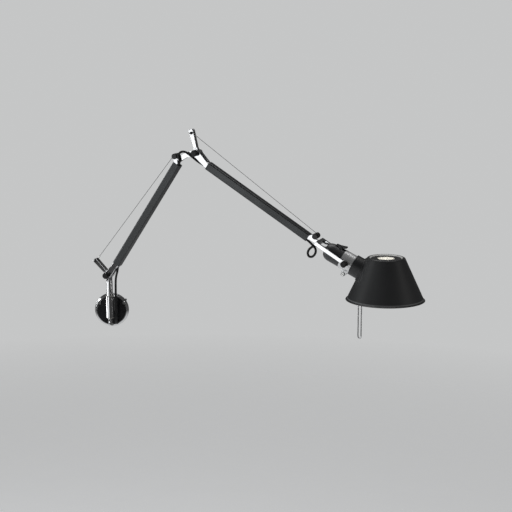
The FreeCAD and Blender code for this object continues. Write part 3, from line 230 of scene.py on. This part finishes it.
# The floor glows a little, so that it meets the backdrop at the same grey.
floor_glow = 0.62
pale = Finish("pale_floor", Roughness=0.8, Emission_Strength=floor_glow)
dust = pale.noise(9, 4)
pale.feed(Base_Color=pale.mixed(dust, (0.70, 0.705, 0.71), (0.74, 0.745, 0.75)))
pale.feed(Emission_Color=(0.5, 0.505, 0.51, 1))
pale.relief(pale.noise(500, 3), 0.0002)
reach = pale.add("ShaderNodeVectorMath", {"operation": "LENGTH"}, [pale.place], "Value")
pale.feed(Alpha=pale.spread(reach, 1.0, 0.0, fade_from, fade_to))

ground = bmesh.new()
bmesh.ops.create_circle(ground, cap_ends=True, segments=96, radius=fade_to + 0.1)
bmesh.ops.translate(ground, verts=ground.verts, vec=(0, 0, floor_z))
piece("floor", ground, pale)


# ---------------------------------------------------------------- wall plate and its black cover
# A pressed steel dish, polished, that the wall screws hold by its rim. A gloss black disc lies in
# it, with a round cut for each screw head, and a moulded gland lets the cable out below the socket.
def dress(finish, *names):
    """Gives CAD pieces their finish. Their shapes stay as they are."""
    for name in names:
        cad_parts[name].material_slots[0].material = finish.material


def polished(name, grey, smooth, worn, stretch=(1, 1, 1)):
    """Bright metal with the faintest hairlines and with patches wiped a little duller."""
    finish = Finish(name, Metallic=1.0)
    wiped = finish.noise(55, 4, 0.6)
    grain = finish.add("ShaderNodeMapping", {}, {"Vector": finish.place, "Scale": stretch})
    hair = finish.noise(1400, 2, 0.5, grain)
    low = tuple(g * 0.9 for g in grey)
    finish.feed(Base_Color=finish.mixed(finish.spread(wiped, 0, 1, 0.35, 0.65), low, grey))
    finish.feed(Roughness=finish.spread(wiped * 0.7 + hair * 0.3, smooth, worn, 0.3, 0.7))
    finish.relief(hair, 0.0000006)
    return finish


plate_polish = polished("plate_polish", (0.8, 0.805, 0.81), 0.1, 0.22)
dress(plate_polish, "wall_plate")

cover_black = Finish("cover_black", Coat_Weight=0.6, Coat_Roughness=0.05)
haze = cover_black.noise(120, 5, 0.65)
cover_black.feed(Base_Color=cover_black.mixed(haze, (0.008, 0.008, 0.009), (0.016, 0.016, 0.018)))
cover_black.feed(Roughness=cover_black.spread(haze, 0.12, 0.26, 0.35, 0.7))
cover_black.relief(cover_black.noise(1500, 2), 0.000012, 0.0004)
dress(cover_black, "plate_cover")


def moulded(name, colour, smooth, rough, grain_scale, grain_deep):
    """Moulded plastic: a fine spark-eroded grain and small changes of gloss."""
    finish = Finish(name)
    patch = finish.noise(70, 3)
    grain = finish.noise(grain_scale, 2, 0.55)
    light = tuple(c * 1.45 for c in colour)
    finish.feed(Base_Color=finish.mixed(patch * 0.6 + grain * 0.4, colour, light))
    finish.feed(Roughness=finish.spread(patch * 0.5 + grain * 0.5, smooth, rough, 0.3, 0.7))
    finish.relief(grain, grain_deep, 0.00025)
    return finish


gland_black = moulded("gland_black", (0.014, 0.014, 0.015), 0.42, 0.6, 2600, 0.00003)
dress(gland_black, "cable_gland", "cord_grip")
terminal_white = moulded("terminal_white", (0.6, 0.6, 0.58), 0.45, 0.6, 1800, 0.00002)
dress(terminal_white, "terminal_block")


# ---------------------------------------------------------------- screws
# Slotted cheese-head screws in bright zinc: three hold the plate to the wall, two the bracket's foot,
# one keeps the stem in its socket and one pinches the collar's lug.
screw_steel = polished("screw_steel", (0.62, 0.62, 0.61), 0.16, 0.3, (1, 1, 6))
dress(screw_steel, "plate_screws", "bracket_screws", "keeper_screw", "clamp_screw")


# ---------------------------------------------------------------- stem socket
# A polished steel tube on a web, screwed to the plate from inside, with a nylon bush in each end.
bracket_steel = polished("bracket_steel", (0.72, 0.72, 0.725), 0.05, 0.12, (1, 1, 0.1))
dress(bracket_steel, "socket_bracket")
bush_nylon = moulded("bush_nylon", (0.5, 0.49, 0.45), 0.35, 0.5, 1500, 0.00002)
dress(bush_nylon, "socket_bushes", "shoulder_washers", "elbow_washers", "tilt_washers")


# ---------------------------------------------------------------- stem, arm feet, links and levers
# The bare metal pieces of the lamp are turned or cast, then ground and polished bright: the stem,
# each arm's forked foot, the arched elbow link, the head's fork and the two wire levers.
bright_steel = polished("bright_steel", (0.72, 0.722, 0.73), 0.07, 0.16)
dress(bright_steel, "stem", "lower_foot", "upper_foot", "elbow_link", "head_fork")
dress(bright_steel, "lower_lever", "upper_lever")
dress(bright_steel, "shoulder_bolt", "elbow_bolt", "tilt_bolts")


# ---------------------------------------------------------------- pivot knobs and nuts
# Each pivot is pinched by a black moulded knob in front and a knurled nut behind.
knob_black = moulded("knob_black", (0.006, 0.006, 0.0065), 0.3, 0.48, 2200, 0.000015)
knob_black.feed(Specular_IOR_Level=0.35)
dress(knob_black, "shoulder_knob", "elbow_knob", "tilt_knob", "lower_lever_pin", "upper_lever_pin")
nut_steel = polished("nut_steel", (0.6, 0.6, 0.61), 0.12, 0.24)
dress(nut_steel, "shoulder_nut", "elbow_nut", "tilt_nut")


# ---------------------------------------------------------------- arm tubes
# Drawn aluminium of rounded square section, anodised a dark metallic grey. The finish has a fine
# sparkle, and long faint die lines that run with the tube.
def anodised(name, along):
    finish = Finish(name, Metallic=0.75)
    lines = finish.noise(420, 4, 0.6, finish.turned(along, (0.02, 1, 1)))
    spark = finish.noise(5200, 1)
    patch = finish.noise(22, 3)
    grain = lines * 0.5 + spark * 0.5
    finish.feed(Base_Color=finish.mixed(grain, (0.06, 0.062, 0.063), (0.08, 0.083, 0.085)))
    finish.feed(Roughness=finish.spread(patch * 0.6 + lines * 0.4, 0.33, 0.5, 0.3, 0.7))
    finish.relief(lines * 0.7 + spark * 0.3, 0.0000015)
    return finish


dress(anodised("lower_tube_grey", lower_frame), "lower_tube")
dress(anodised("upper_tube_grey", upper_frame), "upper_tube")


# ---------------------------------------------------------------- pulleys
# A grooved nylon wheel between two cheeks turns the wire into each tube. Its axle has a black cap
# pressed on each end, and the wire's eye sits on a small bobbin of the same nylon.
pulley_nylon = moulded("pulley_nylon", (0.07, 0.07, 0.07), 0.4, 0.55, 1800, 0.00002)
dress(pulley_nylon, "lower_pulley", "upper_pulley", "lower_bobbin", "upper_bobbin")
cap_black = moulded("cap_black", (0.011, 0.011, 0.012), 0.22, 0.4, 2600, 0.00002)
dress(cap_black, "lower_axle", "upper_axle")


# ---------------------------------------------------------------- balance springs
# A close-wound extension spring in each tube, drawn as a plain coil.
spring_steel = polished("spring_steel", (0.45, 0.45, 0.46), 0.25, 0.4)
spring_r = 3.65
spring_wire_r = 0.55
spring_turns = 112
steps_a_turn = 16
spring_pitch = 2 * spring_wire_r * 1.03
sides_of_wire = 8


def spring(name, arm_frame, first, height, body, node):
    """A coil along an arm: first is where it starts, height is its axis in the arm's frame."""
    coil = bmesh.new()
    bmesh.ops.create_circle(coil, cap_ends=False, segments=sides_of_wire, radius=spring_wire_r)
    upright = Matrix.Rotation(math.radians(-90), 4, "X")
    ring_place = Matrix.Translation((0, 0, spring_r)) @ upright
    bmesh.ops.transform(coil, matrix=ring_place, verts=coil.verts)
    bmesh.ops.spin(
        coil,
        geom=coil.verts[:] + coil.edges[:],
        cent=(0, 0, 0),
        axis=(1, 0, 0),
        dvec=(spring_pitch / steps_a_turn, 0, 0),
        angle=2 * math.pi * spring_turns,
        steps=steps_a_turn * spring_turns,
    )
    bmesh.ops.recalc_face_normals(coil, faces=coil.faces)
    lie = arm_frame @ Matrix.Scale(0.001, 4) @ Matrix.Translation((first, 0, height))
    bmesh.ops.transform(coil, matrix=lie, verts=coil.verts)
    obj = piece(name, coil, spring_steel)
    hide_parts(node)
    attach(obj, body)


lower_spring_z = -1.4
upper_spring_z = -5.8
spring("lower_balance_spring", lower_frame, 58.5, lower_spring_z, "lower_arm", "lower_spring")
spring("upper_balance_spring", upper_frame, 60.8, upper_spring_z, "upper_arm", "upper_spring")


# ---------------------------------------------------------------- tension wires
# Thin stranded steel wire: an eye round the lever's bobbin, closed by a crimp, a long straight run
# over the pulley, and back to the spring.
wire_steel = Finish("wire_steel", Metallic=1.0)
strands = wire_steel.noise(2400, 2, 0.5)
wire_steel.feed(Base_Color=wire_steel.mixed(strands, (0.03, 0.03, 0.032), (0.1, 0.1, 0.105)))
wire_steel.feed(Roughness=wire_steel.spread(strands, 0.25, 0.45))
wire_steel.relief(strands, 0.00005)
wire_r = 0.4


def tube_through(name, points, radius, finish, resolution=12, sides=4, caps=True):
    """A round tube on one smooth spline with these control points, in metres."""
    curve = bpy.data.curves.new(name + "_line", "CURVE")
    curve.dimensions = "3D"
    line = curve.splines.new("NURBS")
    line.points.add(len(points) - 1)
    for point, spot in zip(line.points, points):
        point.co = (*spot, 1)
    line.order_u = 3
    line.use_endpoint_u = True
    line.resolution_u = resolution
    curve.bevel_depth = radius
    curve.bevel_resolution = sides
    curve.use_fill_caps = caps
    holder = bpy.data.objects.new(name + "_line", curve)
    mesh = bpy.data.meshes.new_from_object(holder)
    bpy.data.objects.remove(holder)
    mesh.name = name
    mesh.materials.clear()
    mesh.materials.append(finish.material)
    mesh.shade_smooth()
    obj = bpy.data.objects.new(name, mesh)
    scene.collection.objects.link(obj)
    return obj


def spun(profile, steps, axis_frame):
    """A turned shape: (along, radius) points in mm, spun about the frame's x axis."""
    bm = bmesh.new()
    verts = [bm.verts.new((x, 0, r)) for x, r in profile]
    for first, second in zip(verts, verts[1:]):
        bm.edges.new((first, second))
    bmesh.ops.spin(
        bm,
        geom=bm.verts[:] + bm.edges[:],
        cent=(0, 0, 0),
        axis=(1, 0, 0),
        angle=2 * math.pi,
        steps=steps,
        use_merge=True,
    )
    bmesh.ops.remove_doubles(bm, verts=bm.verts, dist=0.001)
    bmesh.ops.recalc_face_normals(bm, faces=bm.faces)
    bmesh.ops.transform(bm, matrix=axis_frame @ Matrix.Scale(0.001, 4), verts=bm.verts)
    return bm


def open_ends(bm):
    """The two rings of edges at a tube's open ends, as one list of edges each."""
    loose = [edge for edge in bm.edges if edge.is_boundary]
    groups = []
    while loose:
        ring = [loose.pop()]
        grown = True
        while grown:
            corners = {vert for edge in ring for vert in edge.verts}
            near = [edge for edge in loose if corners & set(edge.verts)]
            loose = [edge for edge in loose if edge not in near]
            ring += near
            grown = bool(near)
        groups.append(ring)
    return groups


def mid_of(ring):
    verts = {vert for edge in ring for vert in edge.verts}
    return sum((vert.co for vert in verts), Vector()) / len(verts)


def tension_wire(name, arm_frame, pin, pulley, spring_end, lever_body, node):
    """Eye, run, turn over the pulley and way back, in an arm's frame. The run has no points between
    its ends, so it is straight."""
    pin_x, pin_z = pin
    pulley_x, pulley_z = pulley
    wrap_r = 4.2
    eye_r = 2.95
    reach = math.hypot(pulley_x - pin_x, pulley_z - pin_z)
    heading = math.atan2(pulley_z - pin_z, pulley_x - pin_x) + math.asin(wrap_r / reach)
    run = reach * math.cos(math.asin(wrap_r / reach))
    eye_end = 14.0
    turn_start = run - 9.0
    lever_hold = eye_end + 2.0

    def spot(far, off):
        x = pin_x + far * math.cos(heading) - off * math.sin(heading)
        z = pin_z + far * math.sin(heading) + off * math.cos(heading)
        return arm_frame @ at(x, 0, z)

    def around(centre, radius, degrees):
        angle = heading + math.radians(degrees)
        return arm_frame @ at(centre[0] + radius * math.cos(angle), 0, centre[1] + radius * math.sin(angle))

    corner_r = eye_r / math.cos(math.radians(22.5))
    eye = [spot(9.0, 0.35), spot(6.5, 0.5)]
    eye += [around(pin, corner_r, degrees) for degrees in (67.5, 112.5, 157.5, 202.5, 247.5, 292.5)]
    eye += [spot(6.5, -0.5), spot(9.0, 0), spot(eye_end, 0)]
    turn = [spot(turn_start, 0), spot(run - 4.0, 0)]
    turn += [around(pulley, 4.5, degrees) for degrees in (67, 22, -23, -68)]
    back_x, back_z = spring_end
    turn += [arm_frame @ at(pulley_x - 8, 0, pulley_z - 4.4), arm_frame @ at(back_x, 0, back_z)]
    first = tube_through(name, eye, wire_r * 0.001, wire_steel, 8, 2, caps=False)
    second = tube_through(name + "_turn", turn, wire_r * 0.001, wire_steel, 8, 2, caps=False)
    bm = bmesh.new()
    bm.from_mesh(first.data)
    bm.from_mesh(second.data)
    bmesh.ops.remove_doubles(bm, verts=bm.verts, dist=0.00001)
    rings = open_ends(bm)
    near_eye = min(rings, key=lambda ring: (mid_of(ring) - spot(eye_end, 0)).length)
    near_turn = min(rings, key=lambda ring: (mid_of(ring) - spot(turn_start, 0)).length)
    bmesh.ops.bridge_loops(bm, edges=near_eye + near_turn)
    for ring in open_ends(bm):
        bmesh.ops.contextual_create(bm, geom=ring)
    bmesh.ops.recalc_face_normals(bm, faces=bm.faces)
    bm.to_mesh(first.data)
    bm.free()
    bpy.data.objects.remove(second)
    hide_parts(node)
    spot(lever_hold, 0)
    spot(run * 0.5, 0)
    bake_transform(first)

    sleeve = [(6.9, 0), (6.9, 0.8), (7.1, 1.1), (8.4, 1.1), (8.7, 0.92), (9.9, 0.92), (10.2, 1.1)]
    sleeve += [(11.8, 1.1), (12.0, 0.8), (12.0, 0)]
    along_wire = arm_frame @ Matrix.Translation(at(pin_x, 0, pin_z)) @ Matrix.Rotation(-heading, 4, "Y")
    crimp = piece(name + "_crimp", spun(sleeve, 24, along_wire), screw_steel)
    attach(crimp, lever_body)


tension_wire("lower_tension_wire", lower_frame, (6.933, 36.141), (272.6, 7.5), (192.5, lower_spring_z),
             "stem", "lower_wire")
tension_wire("upper_tension_wire", upper_frame, (-26.705, 25.609), (268.1, 3.1), (194.8, upper_spring_z),
             "lower_arm", "upper_wire")


# ---------------------------------------------------------------- collar and tilt joint
# A clamp ring of satin aluminium grips the lamp housing. Its split lug hangs below with a screw
# through it, and a stud on each side carries it in the fork.
collar_alu = Finish("collar_alu", Metallic=0.55)
round_axis = collar_alu.turned(head_frame, (1, 0.02, 0.02))
turning = collar_alu.noise(2600, 2, 0.5, round_axis)
wiped = collar_alu.noise(90, 4)
collar_alu.feed(Base_Color=collar_alu.mixed(wiped, (0.78, 0.785, 0.79), (0.86, 0.865, 0.87)))
collar_alu.feed(Roughness=collar_alu.spread(turning * 0.5 + wiped * 0.5, 0.26, 0.42, 0.3, 0.7))
collar_alu.relief(turning, 0.000003, 0.0004)
dress(collar_alu, "head_collar")


# ---------------------------------------------------------------- lamp housing, cap and rocker switch
# The housing and its rounded rear cap are spun aluminium, painted a satin dark grey. The black rocker
# lies in a window on top, with a snap switch below it.
def painted(name, dark, light, smooth, rough, peel_scale, peel_deep):
    """Sprayed paint: a soft orange peel, fine specks and some uneven gloss."""
    finish = Finish(name)
    peel = finish.noise(peel_scale, 2, 0.45)
    speck = finish.noise(3800, 1)
    patch = finish.noise(16, 4, 0.6)
    finish.coat = finish.mixed(patch * 0.5 + speck * 0.5, dark, light)
    finish.feed(Base_Color=finish.coat)
    finish.feed(Roughness=finish.spread(patch * 0.5 + peel * 0.5, smooth, rough, 0.3, 0.7))
    finish.relief(peel * 0.8 + speck * 0.2, peel_deep, 0.0004)
    return finish


housing_dark = painted("housing_dark", (0.04, 0.041, 0.043), (0.055, 0.056, 0.059), 0.34, 0.48, 900, 0.00002)
dress(housing_dark, "lamp_housing", "rear_cap")
switch_black = moulded("switch_black", (0.01, 0.01, 0.011), 0.28, 0.42, 2400, 0.00002)
dress(switch_black, "switch_paddle", "switch_block")


# ---------------------------------------------------------------- lamp holder and bulb
# A glazed porcelain holder for a small screw cap, and a ball bulb of opal glass.
holder_white = Finish("holder_white", Coat_Weight=0.7, Coat_Roughness=0.06)
glaze = holder_white.noise(60, 3)
holder_white.feed(Base_Color=holder_white.mixed(glaze, (0.74, 0.73, 0.69), (0.82, 0.81, 0.78)))
holder_white.feed(Roughness=holder_white.spread(glaze, 0.15, 0.28))
holder_white.relief(glaze, 0.00005, 0.0005)
dress(holder_white, "lamp_holder")


opal = Finish("bulb_white", Coat_Weight=0.8, Coat_Roughness=0.04, Emission_Strength=2.2)
cloud = opal.noise(30, 2)
opal.feed(Base_Color=opal.mixed(cloud, (0.86, 0.84, 0.79), (0.92, 0.91, 0.87)))
opal.feed(Roughness=opal.spread(cloud, 0.2, 0.3))
opal.feed(Emission_Color=opal.mixed(cloud, (1.0, 0.93, 0.82), (1.0, 0.96, 0.88)))
opal.relief(cloud, 0.0001)

ball_at = 76.0
ball_r = 22.0
glass = [(32.9, 0), (32.9, 7.2), (34.5, 7.6)]
neck_angle = 153
for step in range(19):
    angle = math.radians(neck_angle * (1 - step / 18))
    glass.append((ball_at + ball_r * math.cos(angle), ball_r * math.sin(angle)))
bulb_glass = piece("bulb_glass", spun(glass, 64, head_frame), opal)
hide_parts("bulb")
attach(bulb_glass, "head")

cap_steel = polished("bulb_cap_steel", (0.66, 0.62, 0.52), 0.2, 0.32)
cap = [(0.2, 0), (0.2, 2.1), (1.6, 2.2), (3.4, 6.0)]
for ridge in range(8):
    cap.append((4.2 + ridge * 3.2, 6.3))
    cap.append((5.8 + ridge * 3.2, 6.85))
cap += [(33.2, 6.7), (33.2, 0)]
bulb_cap = piece("bulb_cap", spun(cap, 48, head_frame), cap_steel)
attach(bulb_cap, "head")


# ---------------------------------------------------------------- shade
# A spun aluminium cone with a rolled rim and a dished top with a hole. Satin dark paint outside,
# white enamel inside. A round opening in its side takes the neck.
shade_low = (0.025, 0.0257, 0.0268)
shade_high = (0.036, 0.037, 0.0385)
shade_dark = painted("shade_paint", shade_low, shade_high, 0.38, 0.5, 700, 0.00002)
# A painted highlight: a thin light line just above the rolled rim, where the roll catches the light.
highlight_low = 0.0708
highlight_high = 0.0725
lift = shade_dark.add("ShaderNodeSeparateXYZ", {}, [shade_dark.place], "Z")
above = shade_dark.spread(lift, 0, 1, highlight_low - 0.0002, highlight_low + 0.0002)
below = shade_dark.spread(lift, 1, 0, highlight_high - 0.0003, highlight_high + 0.0002)
shade_dark.feed(Base_Color=shade_dark.mixed(above * below, shade_dark.coat, (0.16, 0.162, 0.165)))
enamel = painted("shade_white", (0.76, 0.76, 0.74), (0.82, 0.82, 0.8), 0.3, 0.42, 600, 0.00004)
top_z = 144.0
rim_z = 68.5
shade_frame = arm_plane @ Matrix.Translation(at(541.5, 0, 0)) @ Matrix.Rotation(math.radians(-90), 4, "Y")
outer_line = [(142.4, 14.5), (142.4, 26.5), (top_z, 29.0), (top_z, 31.6), (143.4, 32.6), (142.0, 33.93)]
outer_line += [(70.3, 67.36), (69.5, 68.9), (rim_z, 69.9)]
inner_line = [(rim_z, 68.8), (69.6, 67.5), (70.9, 65.75), (141.6, 32.75), (142.8, 31.2), (142.8, 30.3)]
inner_line += [(141.2, 27.6), (141.2, 14.5), (142.4, 14.5)]


def carved(obj, cutter):
    """Cuts one object out of another and throws the cutter away."""
    cut = obj.modifiers.new("opening", "BOOLEAN")
    cut.operation = "DIFFERENCE"
    cut.solver = "EXACT"
    cut.object = cutter
    bpy.context.view_layer.update()
    finished = bpy.data.meshes.new_from_object(obj.evaluated_get(bpy.context.evaluated_depsgraph_get()))
    obj.modifiers.remove(cut)
    obj.data = finished
    bpy.data.objects.remove(cutter)


cone = spun(outer_line + inner_line, 144, shade_frame)
centre = shade_frame.translation
for face in cone.faces:
    out = face.calc_center_median() - centre
    out.z = 0
    inward = face.normal.dot(out.normalized()) < -0.2
    under = face.normal.z < -0.5 and out.length < 0.033
    face.material_index = int(inward or under)
sharp = [edge for edge in cone.edges if edge.calc_face_angle(0) > math.radians(18)]
bmesh.ops.bevel(cone, geom=sharp, offset=0.0003, segments=2, profile=0.5, affect="EDGES", material=-1)
shade = piece("lamp_shade", cone, shade_dark, enamel, crease=60)
neck_way = spun([(0, 0), (0, 19.0), (60, 19.0), (60, 0)], 96, head_frame)
carved(shade, piece("neck_way", neck_way))
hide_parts("shade")
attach(shade, "shade")
dress(shade_dark, "shade_neck")


# ---------------------------------------------------------------- wire handle
# A hairpin of polished 2 mm steel wire. It hangs from two holes in the neck down through the mouth,
# for turning and aiming the shade.
handle_steel = polished("handle_steel", (0.42, 0.42, 0.43), 0.08, 0.18)
left_u = 493.3
right_u = 498.9
hairpin = [(left_u, 103.4), (left_u, 60), (left_u, 12), (left_u, 1.5), (left_u, -2.6), (494.2, -5.6)]
hairpin += [(498.0, -5.6), (right_u, -2.6), (right_u, 1.5), (right_u, 12), (right_u, 60), (right_u, 100.7)]
handle = tube_through("hairpin_handle", [arm_plane @ at(u, 0, z) for u, z in hairpin], 0.001, handle_steel)
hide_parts("wire_handle")
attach(handle, "shade")


# ---------------------------------------------------------------- supply cable
# Black round cable, 4.2 mm: out of the gland, up beside the stem, past the shoulder into the lower
# tube, over the elbow into the upper one, and by one small loop into the head's cap.
cable_black = Finish("cable_black", Specular_IOR_Level=0.3)
skin = cable_black.noise(1600, 2, 0.5)
scuff = cable_black.noise(70, 4, 0.6)
faded = scuff * 0.7 + skin * 0.3
cable_black.feed(Base_Color=cable_black.mixed(faded, (0.005, 0.005, 0.0055), (0.012, 0.012, 0.0125)))
cable_black.feed(Roughness=cable_black.spread(scuff, 0.38, 0.58, 0.3, 0.7))
cable_black.relief(skin, 0.00004)
cable_r = 0.0021
floor_lower = -6.7
floor_upper = -11.1
side = -4.6


def stem_spot(x, y, z):
    return arm_plane @ at(x, y, z)


def lower_spot(x, y, z):
    return lower_frame @ at(x, y, z)


def upper_spot(x, y, z):
    return upper_frame @ at(x, y, z)


def head_spot(x, y, z):
    return head_frame @ at(x, y, z)


base_way = [
    at(10.8, -5.3, -23.5),
    at(10.8, -22.5, -23.5),
    at(11.1, -30.0, -18.0),
    at(11.5, -31.9, -7.5),
    stem_spot(11.8, 2.2, 14.0),
    stem_spot(12.0, 2.0, 38.0),
    stem_spot(12.4, 1.8, 56.0),
]
lower_way = [
    stem_spot(12.4, 1.8, 56.0),
    stem_spot(12.6, 1.7, 65.0),
    stem_spot(14.4, 1.2, 74.0),
    stem_spot(17.6, 0.5, 83.0),
    lower_spot(25.5, 0, floor_lower + 0.3),
    lower_spot(34.5, 0, floor_lower + 0.1),
    lower_spot(45.5, 0, floor_lower),
    lower_spot(62.5, side, floor_lower),
    lower_spot(103.4, side, floor_lower + 0.1),
    lower_spot(152.6, side, floor_lower - 0.1),
    lower_spot(199.4, side, floor_lower),
    lower_spot(lower_end - 26, side, floor_lower),
]
upper_way = [
    lower_spot(lower_end - 26, side, floor_lower),
    lower_spot(lower_end - 12, side, floor_lower),
    lower_spot(lower_end + 3.2, side - 0.1, floor_lower - 0.1),
    lower_spot(lower_end + 9.4, -7.2, floor_lower + 1.6),
    lower_spot(lower_end + 14.0, -7.7, floor_lower + 7.2),
    lower_spot(lower_end + 20.0, -7.7, floor_lower + 10.0),
    lower_spot(lower_end + 26.4, -7.6, floor_lower + 6.8),
    lower_spot(lower_end + 29.8, -7.5, floor_lower + 0.6),
    upper_spot(-11.0, -7.4, -9.2),
    upper_spot(-0.5, -7.2, -9.5),
    upper_spot(9.0, -5.4, -11.0),
    upper_spot(17.5, -1.4, -12.0),
    upper_spot(27.8, 0, floor_upper + 0.1),
    upper_spot(47.8, 0, floor_upper),
    upper_spot(64.8, side, floor_upper),
    upper_spot(105.8, side, floor_upper + 0.1),
    upper_spot(155.8, side, floor_upper - 0.1),
    upper_spot(199.0, side, floor_upper),
    upper_spot(upper_end - 26, side, floor_upper),
]
head_way = [
    upper_spot(upper_end - 26, side, floor_upper),
    upper_spot(upper_end - 12, side, floor_upper),
    upper_spot(upper_end + 3.0, side, floor_upper),
    stem_spot(410.0, -3.8, 156.8),
    stem_spot(414.6, -3.0, 150.6),
    stem_spot(413.4, -2.6, 142.4),
    stem_spot(407.6, -2.0, 136.2),
    stem_spot(400.4, -0.6, 136.2),
    stem_spot(397.4, 1.0, 142.8),
    stem_spot(400.4, 2.2, 150.0),
    stem_spot(407.6, 2.4, 155.2),
    stem_spot(416.0, 1.2, 156.4),
    head_spot(-56.5, 0, -0.9),
    head_spot(-52.0, 0, 0),
    head_spot(-42.5, 0, 0),
]


def cable_length(name, way, node):
    obj = tube_through(name, way, cable_r, cable_black, 14, 5)
    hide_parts(node)
    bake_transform(obj)


cable_length("cable_at_plate", base_way, "cable_base")
cable_length("cable_at_shoulder", lower_way, "cable_lower")
cable_length("cable_at_elbow", upper_way, "cable_upper")
# The cap carries its end of the cable square to the cable's way, so this change from arm to head runs
# on a slant of 32 degrees, which keeps the cable round where it is drawn out.
cable_length("cable_at_head", head_way, "cable_head")
